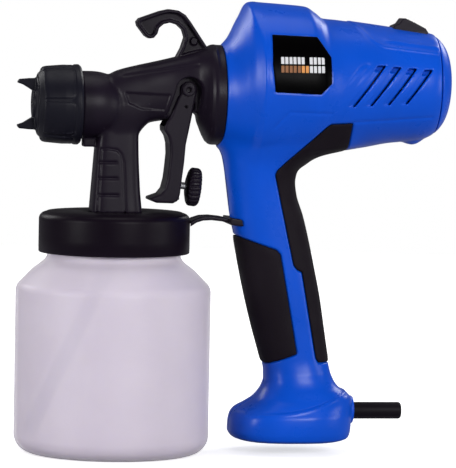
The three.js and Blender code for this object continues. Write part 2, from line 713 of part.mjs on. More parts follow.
const braceHalfWidth = 9;
function lidBrace() {
  const line = [[38, 126.4], [45, 131], [50, 132.6], [56, 133.4], [61, 133.2], [66, 132.2], [74, 131.4]];
  const thickness = 2.6;
  const upper = line.map(([x, z]) => [x, z + thickness / 2]);
  const lower = line.map(([x, z]) => [x, z - thickness / 2]).reverse();
  const strap = plate(polygon([...upper, ...lower]), -braceHalfWidth, braceHalfWidth);
  const foot = plate(polygon([[64, 134.6], [72, 134.2], [72, 129], [64, 130]]), -braceHalfWidth, braceHalfWidth);
  const lidRoom = turnedAlongZ([[0, 100], [lidRadius + gap, 100], [lidRadius + gap, 140], [0, 140]], 44);
  return cut(join(strap, foot), lidRoom, handleShape(-gap - overlayProud));
}

// ---------------------------------------------------------------- the gun
const looks = {
  bluePlastic: { color: 0x1a4fc8, roughness: 0.38, metalness: 0 },
  blackPlastic: { color: 0x1c1b20, roughness: 0.42, metalness: 0 },
  blackRubber: { color: 0x17151a, roughness: 0.8, metalness: 0 },
  milkyPlastic: { color: 0xd6cfdc, roughness: 0.45, metalness: 0 },
  clearTube: { color: 0xb9cbe2, roughness: 0.4, metalness: 0 },
  blackGloss: { color: 0x050506, roughness: 0.2, metalness: 0 },
  greyMark: { color: 0xd8d8dc, roughness: 0.5, metalness: 0 },
  steel: { color: 0xa8abb0, roughness: 0.3, metalness: 1 },
  brass: { color: 0xc09a4e, roughness: 0.35, metalness: 1 },
  aluminium: { color: 0xb8bcc2, roughness: 0.4, metalness: 1 },
  copper: { color: 0x8a5a3a, roughness: 0.45, metalness: 1 },
  greyFoam: { color: 0x55565a, roughness: 0.95, metalness: 0 },
};

const gun = new THREE.Group();
function place(name, solid, look) {
  const mesh = new THREE.Mesh(geometryOf(solid), new THREE.MeshStandardMaterial(looks[look]));
  mesh.name = name;
  gun.add(mesh);
}

place("left_housing", leftHousing, "bluePlastic");
place("right_housing", rightHousing, "bluePlastic");
place("rear_cap", rearCap(), "bluePlastic");
place("rear_grip", largest(overlaySkin(rearGripOutline)), "blackRubber");
place("front_grip", largest(overlaySkin(frontGripOutline)), "blackRubber");
place("label_plate", labelPlate(), "blackGloss");
place("label_mark", labelMark(), "greyMark");
screwPlaces.forEach((spot, i) => place(`housing_screw_${i + 1}`, housingScrew(spot), "steel"));
place("power_rocker", rocker(), "blackPlastic");
place("switch_body", switchBody(), "blackPlastic");
place("stator", stator(), "copper");
place("rotor", rotor(), "steel");
place("impeller", impeller(), "aluminium");
place("fan_back_plate", fanBackPlate(), "aluminium");
place("front_bearing", frontBearing(), "steel");
place("rear_bearing", rearBearing(), "steel");
place("front_motor_bracket", frontBracket(), "blackPlastic");
place("rear_motor_bracket", rearBracket(), "blackPlastic");
place("brush_holder_left", brushHolder().mirror([0, 1, 0]), "brass");
place("brush_holder_right", brushHolder(), "brass");
place("air_filter", airFilter(), "greyFoam");
place("capacitor", capacitor(), "blackPlastic");
place("cable_sleeve", cableSleeve(), "blackRubber");
place("cord_clamp", cordClamp(), "blackPlastic");
place("spray_head", sprayHead(), "blackPlastic");
place("collar_seal", collarSeal(), "blackRubber");
place("hanging_hook", hangingHook(), "blackPlastic");
place("air_cap", airCap(), "blackPlastic");
place("air_cap_ring", airCapRing(), "blackPlastic");
place("fluid_nozzle", fluidNozzle(), "brass");
place("needle", needle(), "steel");
place("drive_pin", drivePin(), "steel");
place("needle_packing", needlePacking(), "blackRubber");
place("needle_spring", needleSpring(), "steel");
place("spring_plug", springPlug(), "brass");
place("trigger", trigger(), "blackPlastic");
place("pivot_pin", pivotPin(), "blackPlastic");
place("flow_screw", flowScrew(), "steel");
place("flow_knob", flowKnob(), "blackPlastic");
place("cup_lid", lid(), "blackPlastic");
place("lid_gasket", lidGasket(), "blackRubber");
place("suction_fitting", suctionFitting(), "blackPlastic");
place("suction_tube", suctionTube(), "clearTube");
place("lid_brace", lidBrace(), "blackPlastic");
place("cup", cup(), "milkyPlastic");

export default gun;
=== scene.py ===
"""Looks of the spray gun: moulded shells, grips, vents, spray head and milky cup, around the CAD frame.

Shapes are worked out in millimetres, in the CAD frame, as fields of distance: negative inside a piece,
zero on its skin. Adding to a field sinks the skin, and taking away from it raises the skin. Bare numbers
in them are places in that frame, sizes, or how far an edge or a corner is softened.
"""
import math

import bpy
import numpy as np
import openvdb
from mathutils import Matrix, Vector


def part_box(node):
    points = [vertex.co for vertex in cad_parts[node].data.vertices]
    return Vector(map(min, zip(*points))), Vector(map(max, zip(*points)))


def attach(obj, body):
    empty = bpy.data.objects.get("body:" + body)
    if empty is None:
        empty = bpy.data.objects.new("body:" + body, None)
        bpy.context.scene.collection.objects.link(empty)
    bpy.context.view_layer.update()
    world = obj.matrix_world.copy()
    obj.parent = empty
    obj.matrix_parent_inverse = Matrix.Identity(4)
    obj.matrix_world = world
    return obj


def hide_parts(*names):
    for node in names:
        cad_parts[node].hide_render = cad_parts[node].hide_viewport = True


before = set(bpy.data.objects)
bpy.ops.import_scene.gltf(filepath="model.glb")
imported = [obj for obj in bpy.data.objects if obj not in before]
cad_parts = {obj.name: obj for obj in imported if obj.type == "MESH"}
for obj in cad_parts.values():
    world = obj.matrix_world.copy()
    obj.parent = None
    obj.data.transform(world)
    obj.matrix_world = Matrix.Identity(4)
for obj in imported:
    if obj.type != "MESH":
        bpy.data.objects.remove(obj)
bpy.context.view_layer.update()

MM = 0.001


def low(node):
    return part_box(node)[0] / MM


def high(node):
    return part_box(node)[1] / MM


def middle(node):
    return (low(node) + high(node)) / 2


# ---- camera
SENSOR_WIDTH = 36
VIEW_WIDTH = 0.258324  # what the picture takes in from side to side, at the target
CAMERA_DISTANCE = 1.96
CAMERA_HEIGHT = 0.256
CAMERA_AZIMUTH = math.radians(-9)
CAMERA_ROLL = math.radians(1.1)
CAMERA_TARGET = Vector((0.0649, 0, 0.1238))


def add_camera():
    """Looks at the gun's left side, a little from the front and from above."""
    data = bpy.data.cameras.new("camera")
    camera = bpy.data.objects.new("camera", data)
    bpy.context.scene.collection.objects.link(camera)
    rise = CAMERA_HEIGHT - CAMERA_TARGET.z
    flat = math.sqrt(CAMERA_DISTANCE**2 - rise**2)
    away = Vector((math.sin(CAMERA_AZIMUTH), -math.cos(CAMERA_AZIMUTH), 0)) * flat
    camera.location = CAMERA_TARGET + away + Vector((0, 0, rise))
    aim = (CAMERA_TARGET - camera.location).to_track_quat("-Z", "Y").to_matrix()
    camera.rotation_euler = (aim @ Matrix.Rotation(CAMERA_ROLL, 3, "Z")).to_euler()
    data.sensor_fit = "HORIZONTAL"
    data.sensor_width = SENSOR_WIDTH
    data.lens = SENSOR_WIDTH * CAMERA_DISTANCE / VIEW_WIDTH
    bpy.context.scene.camera = camera


add_camera()


# ---- materials
PATCH_MM, SMEAR_MM = 38, 14  # sizes of the uneven colour and of the uneven gloss on mouldings
WORN_FROM, WORN_TO = 0.53, 0.62  # how sharp an edge is where wear starts and where it is full


class Nodes:
    """A short way to build one material's node tree."""

    def __init__(self, name):
        self.material = bpy.data.materials.new(name)
        self.material.use_nodes = True
        self.tree = self.material.node_tree
        self.shader = self.tree.nodes["Principled BSDF"]

    def add(self, kind, **settings):
        node = self.tree.nodes.new(kind)
        for key, value in settings.items():
            if key in node.inputs:
                node.inputs[key].default_value = value
            else:
                setattr(node, key, value)
        return node

    def link(self, source, target):
        self.tree.links.new(source, target)

    def place(self):
        """Object coordinates, so that the detail keeps its real size."""
        return self.add("ShaderNodeTexCoord").outputs["Object"]

    def noise(self, scale_mm, detail=3, roughness=0.55):
        texture = self.add("ShaderNodeTexNoise")
        texture.inputs["Scale"].default_value = 1000 / scale_mm
        texture.inputs["Detail"].default_value = detail
        texture.inputs["Roughness"].default_value = roughness
        self.link(self.place(), texture.inputs["Vector"])
        return texture.outputs["Fac"]

    def spread(self, value, low_end, high_end, low_out, high_out):
        node = self.add("ShaderNodeMapRange")
        ends = (low_end, high_end, low_out, high_out)
        for socket, number in zip(("From Min", "From Max", "To Min", "To Max"), ends):
            node.inputs[socket].default_value = number
        self.link(value, node.inputs["Value"])
        return node.outputs["Result"]

    def mix(self, amount, first, second):
        node = self.add("ShaderNodeMix", data_type="RGBA")
        self.link(amount, node.inputs["Factor"])
        for socket, colour in (("A", first), ("B", second)):
            target = [s for s in node.inputs if s.name == socket and s.type == "RGBA"][0]
            if isinstance(colour, tuple):
                target.default_value = (*colour, 1)
            else:
                self.link(colour, target)
        return [s for s in node.outputs if s.type == "RGBA"][0]

    def bump(self, height, strength, depth_mm):
        node = self.add("ShaderNodeBump")
        node.inputs["Strength"].default_value = strength
        node.inputs["Distance"].default_value = depth_mm * MM
        self.link(height, node.inputs["Height"])
        self.link(node.outputs["Normal"], self.shader.inputs["Normal"])

    def edges(self):
        """1 on worn outer edges, 0 elsewhere."""
        pointed = self.add("ShaderNodeNewGeometry").outputs["Pointiness"]
        return self.spread(pointed, WORN_FROM, WORN_TO, 0, 1)


def moulded(name, colour, worn, rough, grain_mm, grain_depth, variation=0.12, gloss=0.2):
    """Moulded plastic or rubber: uneven colour, rubbed edges, patchy gloss and a fine moulded grain."""
    n = Nodes(name)
    dark = tuple(c * (1 - variation) for c in colour)
    light = tuple(min(c * (1 + variation), 1) for c in colour)
    patches = n.spread(n.noise(PATCH_MM, 4), 0.3, 0.7, 0, 1)
    base = n.mix(patches, dark, light)
    n.link(n.mix(n.edges(), base, worn), n.shader.inputs["Base Color"])
    smears = n.spread(n.noise(SMEAR_MM, 5), 0.3, 0.75, rough * 0.86, rough * 1.18)
    n.link(smears, n.shader.inputs["Roughness"])
    n.bump(n.noise(grain_mm, 2), 0.35, grain_depth)
    n.shader.inputs["Specular IOR Level"].default_value = gloss
    return n.material


def machined(name, colour, rough):
    """Turned or drawn metal with fine scratches and stains."""
    n = Nodes(name)
    n.shader.inputs["Metallic"].default_value = 1
    darker = tuple(c * 0.7 for c in colour)
    stains = n.spread(n.noise(6, 5), 0.35, 0.65, 0, 1)
    n.link(n.mix(stains, darker, colour), n.shader.inputs["Base Color"])
    scratches = n.spread(n.noise(0.8, 2), 0.3, 0.7, rough * 0.7, rough * 1.4)
    n.link(scratches, n.shader.inputs["Roughness"])
    n.bump(n.noise(0.5, 1), 0.2, 0.03)
    return n.material


def open_foam(name):
    """Charcoal foam with open cells, whose pits are painted darker as painted shade."""
    n = Nodes(name)
    cells = n.add("ShaderNodeTexVoronoi")
    cells.inputs["Scale"].default_value = 900
    n.link(n.place(), cells.inputs["Vector"])
    # painted shade: the colour darkens towards each cell's pit, where the bump sinks the surface
    pit_painted_shade = n.mix(cells.outputs["Distance"], (0.01, 0.01, 0.012), (0.09, 0.09, 0.1))
    n.link(pit_painted_shade, n.shader.inputs["Base Color"])
    n.shader.inputs["Roughness"].default_value = 0.95
    n.bump(cells.outputs["Distance"], 0.9, 0.6)
    return n.material


def milky(name):
    """Thin natural polyethylene that lets light and a faint view of the inside through."""
    n = Nodes(name)
    cloud = n.spread(n.noise(30, 4), 0.3, 0.7, 0, 1)
    tint = n.mix(cloud, (0.81, 0.735, 0.85), (0.85, 0.775, 0.885))
    n.link(tint, n.shader.inputs["Base Color"])
    n.link(n.spread(n.noise(11, 4), 0.3, 0.7, 0.38, 0.5), n.shader.inputs["Roughness"])
    n.bump(n.noise(0.9, 2), 0.18, 0.05)
    n.shader.inputs["Alpha"].default_value = 0.64
    n.shader.inputs["Subsurface Weight"].default_value = 0.25
    n.shader.inputs["Subsurface Radius"].default_value = (0.004, 0.004, 0.005)
    return n.material


def tinted_tube(name):
    """Blue tube plastic, cloudy and smooth."""
    n = Nodes(name)
    cloud = n.spread(n.noise(5, 3), 0.3, 0.7, 0, 1)
    n.link(n.mix(cloud, (0.07, 0.16, 0.42), (0.11, 0.22, 0.5)), n.shader.inputs["Base Color"])
    n.link(n.spread(n.noise(2, 3), 0.3, 0.7, 0.25, 0.4), n.shader.inputs["Roughness"])
    return n.material


BLUE = moulded(
    "housing_blue", (0.0012, 0.078, 0.6), (0.01, 0.13, 0.72),
    rough=0.3, grain_mm=0.5, grain_depth=0.025, variation=0.06,
)
BLACK = moulded(
    "moulded_black", (0.0092, 0.0058, 0.0126), (0.022, 0.017, 0.027),
    rough=0.4, grain_mm=0.55, grain_depth=0.035, gloss=0.14,
)
LID_LOOK = moulded(
    "lid_black", (0.0052, 0.0026, 0.0066), (0.014, 0.009, 0.017),
    rough=0.4, grain_mm=0.55, grain_depth=0.035, gloss=0.08,
)
RING_LOOK = moulded(
    "ring_black", (0.0065, 0.0062, 0.0115), (0.022, 0.021, 0.03),
    rough=0.42, grain_mm=0.55, grain_depth=0.035, gloss=0.14,
)
GRIP = moulded(
    "grip_black", (0.0085, 0.0055, 0.0092), (0.018, 0.014, 0.02),
    rough=0.62, grain_mm=0.4, grain_depth=0.07, gloss=0.1,
)
FLEX = moulded(
    "sleeve_black", (0.0068, 0.0048, 0.0078), (0.018, 0.014, 0.02),
    rough=0.5, grain_mm=0.5, grain_depth=0.05, gloss=0.1,
)
LABEL = moulded(
    "label_gloss", (0.0006, 0.0005, 0.0007), (0.004, 0.004, 0.004),
    rough=0.3, grain_mm=0.3, grain_depth=0.006, gloss=0.02,
)
PRINT_WHITE = moulded(
    "print_white", (0.72, 0.72, 0.75), (0.8, 0.8, 0.8),
    rough=0.5, grain_mm=0.3, grain_depth=0.01,
)
PRINT_ORANGE = moulded(
    "print_orange", (0.72, 0.3, 0.08), (0.8, 0.4, 0.15),
    rough=0.5, grain_mm=0.3, grain_depth=0.01,
)
PRINT_BROWN = moulded(
    "print_brown", (0.28, 0.12, 0.05), (0.4, 0.2, 0.1),
    rough=0.5, grain_mm=0.3, grain_depth=0.01,
)
STEEL = machined("bright_steel", (0.62, 0.63, 0.65), rough=0.3)
BRASS = machined("turned_brass", (0.78, 0.57, 0.27), rough=0.3)
ALUMINIUM = machined("cast_aluminium", (0.78, 0.79, 0.8), rough=0.35)
COPPER = machined("copper_wire", (0.7, 0.3, 0.14), rough=0.35)
FOAM = open_foam("charcoal_foam")
MILKY = milky("cup_milky")
TUBE = tinted_tube("tube_tinted")


# ---- fields
FAR = 4.0  # fields are cut off at this distance from the skin
LATHE_SIDES = 144


class Block:
    """Evenly spaced sample points in a box, in millimetres."""

    def __init__(self, lowest, highest, step):
        self.lowest, self.step = np.array(lowest, float), step
        x, y, z = (self.row(a, b) for a, b in zip(lowest, highest))
        self.x = x[:, None, None]
        self.y = y[None, :, None]
        self.z = z[None, None, :]

    def row(self, first, last):
        count = int((last - first) / self.step) + 2
        return np.float32(first) + np.arange(count, dtype=np.float32) * np.float32(self.step)


def smooth_min(a, b, reach):
    """Either of two fields, with the corner between them filled."""
    share = np.clip(0.5 + 0.5 * (b - a) / reach, 0, 1)
    return b + (a - b) * share - reach * share * (1 - share)


def smooth_max(a, b, reach):
    """The overlap of two fields, with its edge worn off."""
    return -smooth_min(-a, -b, reach)


def line_distance(u, v, points):
    """Distance to an open line through these points."""
    u, v = np.broadcast_arrays(np.float32(u), np.float32(v))
    nearest = np.full(u.shape, 1e9, np.float32)
    for (au, av), (bu, bv) in zip(points, points[1:]):
        eu, ev = bu - au, bv - av
        share = np.clip(((u - au) * eu + (v - av) * ev) / (eu * eu + ev * ev), 0, 1)
        nearest = np.minimum(nearest, (u - au - share * eu) ** 2 + (v - av - share * ev) ** 2)
    return np.sqrt(nearest)


def outline_distance(u, v, corners):
    """Distance to a closed outline of straight lines, negative inside it."""
    around = corners + corners[:1]
    u, v = np.broadcast_arrays(np.float32(u), np.float32(v))
    inside = np.zeros(u.shape, bool)
    for (au, av), (bu, bv) in zip(around, around[1:]):
        if bv != av:
            inside ^= ((av > v) != (bv > v)) & (u < (bu - au) * (v - av) / (bv - av) + au)
    return np.where(inside, -1, 1).astype(np.float32) * line_distance(u, v, around)


def from_x_line(b, z, y=0):
    """Distance from a line along X."""
    return np.sqrt((b.y - y) ** 2 + (b.z - z) ** 2)


def from_y_line(b, x, z):
    """Distance from a line along Y."""
    return np.sqrt((b.x - x) ** 2 + (b.z - z) ** 2)


def within(distance, soften):
    """1 inside, 0 outside, with a ramp this wide between them."""
    return np.clip(0.5 - distance / soften, 0, 1)


def groove(distance, width, depth):
    """The depth of a soft groove along the places where the distance is 0."""
    return depth * np.exp(-((distance / (width / 2)) ** 2))


def through(stations, column, at):
    """A smooth curve through one column of a table of stations, with no overshoot."""
    where = np.array([row[0] for row in stations], float)
    value = np.array([row[column] for row in stations], float)
    slope = np.diff(value) / np.diff(where)
    tangent = np.concatenate([slope[:1], np.zeros(len(value) - 2), slope[-1:]])
    same = slope[:-1] * slope[1:] > 0
    both = slope[:-1] + slope[1:]
    tangent[1:-1][same] = (2 * slope[:-1] * slope[1:])[same] / both[same]
    i = np.clip(np.searchsorted(where, at) - 1, 0, len(where) - 2)
    width = where[i + 1] - where[i]
    t = np.clip((at - where[i]) / width, 0, 1)
    start = value[i] * (1 + 2 * t) * (1 - t) ** 2 + width * tangent[i] * t * (1 - t) ** 2
    end = value[i + 1] * t * t * (3 - 2 * t) + width * tangent[i + 1] * t * t * (t - 1)
    return (start + end).astype(np.float32)


def oval_distance(u, v, half_u, half_v, power=2.0):
    """Distance from an oval round the origin; power 2 is an ellipse, and more is squarer."""
    if np.isscalar(power) and power == 2.0:
        reach = np.sqrt((u / half_u) ** 2 + (v / half_v) ** 2)
    else:
        reach = (np.abs(u / half_u) ** power + np.abs(v / half_v) ** power) ** (1 / power)
    far = np.sqrt(u * u + v * v)
    return far - far / np.maximum(reach, 1e-3)


def slab(value, low_end, high_end):
    """Negative where the value lies between two ends."""
    return np.maximum(low_end - value, value - high_end)


def rounded(a, b, radius):
    """The overlap of two fields, with its edge rounded to this radius."""
    outer = np.sqrt(np.maximum(a + radius, 0) ** 2 + np.maximum(b + radius, 0) ** 2)
    return outer + np.minimum(np.maximum(a, b) + radius, 0) - radius


def skin(name, block, field, material, body, *nodes):
    """A mesh of a field's zero surface, which rides on a body and stands for CAD nodes."""
    field = np.broadcast_to(field, (block.x.size, block.y.size, block.z.size))
    grid = openvdb.FloatGrid(FAR)
    grid.copyFromArray(np.ascontiguousarray(np.clip(field, -FAR, FAR), np.float32), tolerance=0.0)
    points, quads = grid.convertToQuads(0.0)
    points = (points * block.step + block.lowest) * MM
    mesh = bpy.data.meshes.new(name)
    mesh.from_pydata(points.tolist(), [], quads[:, ::-1].tolist())
    return finish_piece(mesh, material, body, *nodes)


def finish_piece(mesh, material, body, *nodes):
    """Makes the mesh a smooth piece with its look, on its body."""
    mesh.validate()
    mesh.polygons.foreach_set("use_smooth", np.ones(len(mesh.polygons), bool))
    mesh.materials.append(material)
    piece = bpy.data.objects.new(mesh.name, mesh)
    bpy.context.scene.collection.objects.link(piece)
    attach(piece, body)
    if nodes:
        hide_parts(*nodes)
    return piece


def lathe(name, profile, material, body, *nodes):
    """A closed profile of (radius, height) turned about the Z axis."""
    count = len(profile)
    points, faces = [], []
    for s in range(LATHE_SIDES):
        turn = 2 * math.pi * s / LATHE_SIDES
        points += [(r * math.cos(turn) * MM, r * math.sin(turn) * MM, z * MM) for r, z in profile]
        here, after = s * count, (s + 1) % LATHE_SIDES * count
        for i in range(count):
            up = (i + 1) % count
            faces.append((here + i, after + i, after + up, here + up))
    mesh = bpy.data.meshes.new(name)
    mesh.from_pydata(points, [], faces)
    return finish_piece(mesh, material, body, *nodes)


def arc(centre, radius, start, end, steps=8):
    """Points of an arc, with its angles in degrees."""
    turns = np.radians(np.linspace(start, end, steps + 1))
    return [(centre[0] + radius * math.cos(t), centre[1] + radius * math.sin(t)) for t in turns]


# ---- places taken from the frame
MOTOR_Z = middle("rotor").z
NOZZLE_Z = middle("air_cap_ring").z
COLLAR_Z = middle("collar_seal").z
SLEEVE_Z = middle("cable_sleeve").z
CAP_SPLIT = low("rear_cap").x
HOUSING_FRONT = low("left_housing").x
REAR_END = high("rear_cap").x
HEAD_FRONT, HEAD_BACK = low("spray_head").x, high("spray_head").x
HEAD_FOOT = low("spray_head").z
RING_BACK = high("air_cap_ring").x
PIVOT = middle("pivot_pin")
TRIGGER_HALF = high("trigger").y
ROCKER_X = (low("power_rocker").x + high("power_rocker").x) / 2
PRINT_LEFT = low("label_mark").x - 0.3
PRINT_Z = middle("label_mark").z
CUP_RADIUS, CUP_RIM = high("cup").x, high("cup").z
LID_RADIUS = high("cup_lid").x
LID_TOP, LID_BOTTOM = high("cup_lid").z, low("cup_lid").z
SCREWS = [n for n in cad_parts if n.startswith("housing_screw_")]

# ---- housing shape
WALL = 3.0
FILLET = 7  # between barrel and handle

# Stations along the barrel: x, top, bottom, half width.
BARREL = [
    (HOUSING_FRONT, 230.8, 174.2, 28.3),
    (62.8, 235.2, 172, 30.8),
    (69.4, 248, 167, 36.4),
    (73.6, 255, 164.2, 40.2),
    (76.5, 255.5, 163.6, 42.4),
    (78.4, 255.3, 163.6, 43.5),
    (92, 254.4, 164.2, 43.6),
    (106, 253.2, 165.4, 43.2),
    (111.2, 250.2, 168.4, 42.6),
    (116.2, 246.7, 170.6, 41),
    (124, 246, 171.4, 38.4),
    (140, 244.2, 173.6, 35),
    (157, 242, 176.7, 32.4),
    (176, 239.4, 178.2, 30.2),
    (192, 236.6, 180.2, 28.6),
]
# Stations up the handle: z, front, back, half width, squareness.
HANDLE = [
    (7.2, 72.6, 132, 26.6, 2.5),
    (9, 68.8, 135.4, 28.6, 2.5),
    (12.5, 67, 136.6, 29.8, 2.5),
    (17, 67.2, 137, 30.2, 2.5),
    (21, 68, 137.2, 30, 2.5),
    (24.4, 70.2, 137.4, 28.8, 2.5),
    (27.8, 75.8, 137.4, 27, 2.5),
    (31.2, 80.6, 137, 24.8, 2.5),
    (34.7, 83.7, 134.2, 22.8, 2.5),
    (38.1, 85.8, 129.6, 20.8, 2.5),
    (42, 87, 126.6, 19.2, 2.5),
    (46, 87, 124.8, 18, 2.5),
    (54, 85, 123, 17.2, 2.4),
    (72, 79.8, 120, 17.6, 2.4),
    (88, 75.7, 117.4, 18.2, 2.4),
    (106, 71.7, 113.6, 18.6, 2.4),
    (124, 68.2, 109.5, 18.8, 2.4),
    (135, 65.8, 106.6, 19, 2.4),
    (147, 64.1, 102.6, 19.6, 2.4),
    (154, 63.2, 101.7, 20.4, 2.4),
    (160, 62.4, 102.8, 21.6, 2.4),
    (166, 61.3, 108.6, 23.4, 2.4),
    (171, 60.2, 121, 25, 2.4),
    (174, 59.6, 134, 25.6, 2.4),
    (182, 60, 146, 25, 2.4),
]
# The barrel's rear end is a squarish dome, which leans a little.
DOME_CENTRE_X = 152
DOME_RADIUS = 32.8
DOME_POWER = 3.4
DOME_LEAN = 0.02


def barrel_field(b):
    """The fan casing, the motor barrel and its domed end, as one solid."""
    top, bottom, half = (through(BARREL, column, b.x) for column in (1, 2, 3))
    tube = oval_distance(b.y, b.z - (top + bottom) / 2, half, (top - bottom) / 2)
    along = np.maximum(b.x - DOME_CENTRE_X + DOME_LEAN * (MOTOR_Z + 4 - b.z), 0)
    dome = oval_distance(along, from_x_line(b, MOTOR_Z), REAR_END - DOME_CENTRE_X, DOME_RADIUS, DOME_POWER)
    ahead = np.clip((DOME_CENTRE_X + 10 - b.x) / 20, 0, 1)
    dome = dome - 30 * ahead  # it leaves the front of the barrel alone
    tube = smooth_max(tube, dome, 1)
    return smooth_max(tube, HOUSING_FRONT - b.x, 0.8)


def handle_field(b):
    """The handle with its foot, as one solid."""
    front, back, half, power = (through(HANDLE, column, b.z) for column in (1, 2, 3, 4))
    column = oval_distance(b.x - (front + back) / 2, b.y, (back - front) / 2, half, power)
    return smooth_max(column, slab(b.z, HANDLE[0][0], HANDLE[-1][0]), 2)


def housing_body(b):
    """The skin that the housing, the grips and the brace's clip share."""
    return smooth_min(barrel_field(b), handle_field(b), FILLET)


# ---- outlines on the housing's side
REAR_GRIP = [
    (129.6, 188.4), (117, 187.8), (114.6, 186.2), (89.2, 161.3), (88, 158.6), (90.6, 148.6),
    (96.1, 124.4), (100, 107.5), (102, 105), (105, 103.6), (114.2, 54.6), (115.8, 52.2), (135, 51.6),
    (135, 160), (129.6, 164),
]
FRONT_GRIP = [
    (60, 126.2), (69.2, 123.2), (90, 116.2), (92.2, 113.6), (102.9, 57.6), (102.2, 56.8), (87.8, 51.4),
    (60, 47),
]
LABEL_EDGE = [
    (82.2, 237.4), (107.8, 236.5), (115.4, 225.2), (115.4, 210.7), (109.1, 204.5), (83.2, 205.5),
    (81.6, 221),
]
PLINTH = [
    (129.4, 252), (130.4, 246.6), (132.6, 244), (137.3, 239.4), (140.4, 235.8), (143.7, 233.2),
    (147.4, 231.5), (151.4, 230.9), (165.7, 229.4), (179, 228), (186, 230), (186, 252),
]
PLINTH_RIM = PLINTH[1:10]
STEP_RIM = [(148.4, 235.4), (155.3, 234.6), (166.3, 233.1), (179, 231.7)]
LOWER_LINES = [
    [(84.7, 186.2), (92, 194.4), (116.4, 193.8)],
    [(129.2, 189), (149.4, 190.2), (176, 192.2)],
]
CONE_CREASE = [(73, 252), (76.4, 236), (78, 222), (77.8, 208), (76.4, 194), (73.4, 181)]
FOOT_RIDGE = [(60, 23.2), (78, 23.4), (91, 24), (98.5, 24.6), (111.5, 27.2), (123.6, 31.8), (134, 36.4)]
GRIP_DEPTH, LABEL_DEPTH, PLINTH_RISE = 1.6, 0.5, 0.45
STEP_EDGE = 0.7  # how wide the edge of a recess is

# The vents are a row of slanted slots. The first is only an outline, the others are open.
SLOT_COUNT = 5
SLOT_WIDTH = 5
SQUARE_TO_SLOT = 0.8  # a slot's width, measured square to it, as a share of that along X
SLOT_FLOOR = 4  # depth of the strip along a slot's rear edge and of the pocket at its top
STRIP_START = 2.7
POCKET_HEIGHT = 3
GAP_ACROSS, GAP_REACH = (3.9, 6), 2  # where air goes in, under the rear edge
LIP = 1.9  # thickness of the skin over that gap
VENT_BACKING = 2.8  # how much thicker the wall is behind the vents
VENT_X, VENT_Z = (116, 177), (195, 224)
FIRST_SLOT_FOOT, LAST_SLOT_FOOT = (116.9, 197), (158.2, 199.6)
FIRST_SLOT_HEAD, LAST_SLOT_HEAD = (136.2, 221.6), (172.8, 218.9)


def slots(b):
    """For each slot: how far across it a place is (0 to 1), how far below its top and off its outline."""
    for i in range(SLOT_COUNT):
        share = i / (SLOT_COUNT - 1)
        foot_x, foot_z = (a + (z - a) * share for a, z in zip(FIRST_SLOT_FOOT, LAST_SLOT_FOOT))
        head_x, head_z = (a + (z - a) * share for a, z in zip(FIRST_SLOT_HEAD, LAST_SLOT_HEAD))
        lean = (head_x - foot_x) / (head_z - foot_z)
        across = b.x - foot_x - (b.z - foot_z) * lean
        sides = (np.abs(across) - SLOT_WIDTH / 2) / math.hypot(1, lean)
        rounding = 3 if i == 0 else 0.3
        outline = smooth_max(sides, slab(b.z, foot_z, head_z), rounding)
        yield across / SLOT_WIDTH + 0.5, head_z - b.z, outline


def blind_louvre(b):
    """How deep the outline of the first louvre lies, which is only moulded in and fades out downwards."""
    _, _, outline = next(slots(b))
    return np.clip((b.z - 206) / 12, 0, 1) * groove(outline, 1.6, 0.35)


def louvres(b, surface):
    """What is cut out for the open louvres.

    Each has a ramp down to its rear edge, a deep strip along that edge, a deep pocket at its top, and an
    air gap under the edge.
    """
    mouth, deep, gap, ramp = 1e3, 1e3, 1e3, 0
    for share, below_top, outline in list(slots(b))[1:]:
        across = share * SLOT_WIDTH * SQUARE_TO_SLOT
        low_end = np.clip(1 - (25 - below_top) / 14, 0, 1)
        slope = 0.2 + (0.7 + 0.7 * low_end) * np.clip(share, 0, 1)
        ramp = ramp + slope * within(outline, 2)
        mouth = np.minimum(mouth, outline)
        strip = np.minimum(STRIP_START - across, below_top - POCKET_HEIGHT)
        deep = np.minimum(deep, np.maximum(outline, strip))
        gap = np.minimum(gap, np.maximum(slab(across, *GAP_ACROSS), outline - GAP_REACH))
    cuts = np.maximum(mouth, -ramp - surface)
    cuts = np.minimum(cuts, np.maximum(deep, -SLOT_FLOOR - surface))
    return np.minimum(cuts, np.maximum(gap, surface + LIP))


def side_details(b, side):
    """How far the housing's skin is sunk at each place, as seen from one side."""
    sunk = 0
    for outline in (REAR_GRIP, FRONT_GRIP):
        sunk = sunk + GRIP_DEPTH * within(outline_distance(b.x, b.z, outline) - 0.25, STEP_EDGE)
    if side < 0:
        sunk = sunk + LABEL_DEPTH * within(outline_distance(b.x, b.z, LABEL_EDGE) - 0.15, STEP_EDGE)
    sunk = sunk + blind_louvre(b)
    sunk = sunk - PLINTH_RISE * within(outline_distance(b.x, b.z, PLINTH), 1.0)
    for line, start in ((PLINTH_RIM, 130), (STEP_RIM, 147)):
        fade = np.clip((b.x - start) / 5, 0, 1)
        sunk = sunk - fade * groove(line_distance(b.x, b.z, line), 1.8, 0.5)
    for line in LOWER_LINES:
        sunk = sunk + groove(line_distance(b.x, b.z, line), 1.4, 0.4)
    sunk = sunk - groove(line_distance(b.x, b.z, CONE_CREASE), 3.4, 0.4)
    ridge = through(FOOT_RIDGE, 1, b.x)
    above = np.clip((b.z - ridge) / 1.2, 0, 1) * np.clip((44 - b.z) / 14, 0, 1)
    fade = np.clip((b.x - 72) / 20, 0, 1)
    return sunk + fade * (1.1 * above - groove(b.z - ridge + 0.3, 1.4, 0.35))


SEAM_HALF = 0.15  # each half ends this far from the middle plane
HOUSING_STEP = 0.62
BOSS_RADIUS, BOSS_X = 8, (120, 138.6)  # the boss round the cable sleeve
KNUCKLE_X, KNUCKLE_Z, KNUCKLE_RADIUS = 169.6, 182, 6.2  # the lug under the barrel's rear
SWITCH_HALF_LENGTH, SWITCH_HALF_WIDTH, SWITCH_FLOOR = 9.6, 7.2, 233
HEAD_HOLE_RADIUS, HEAD_HOLE_FROM = 3.6, 9  # the holes for the screws' heads


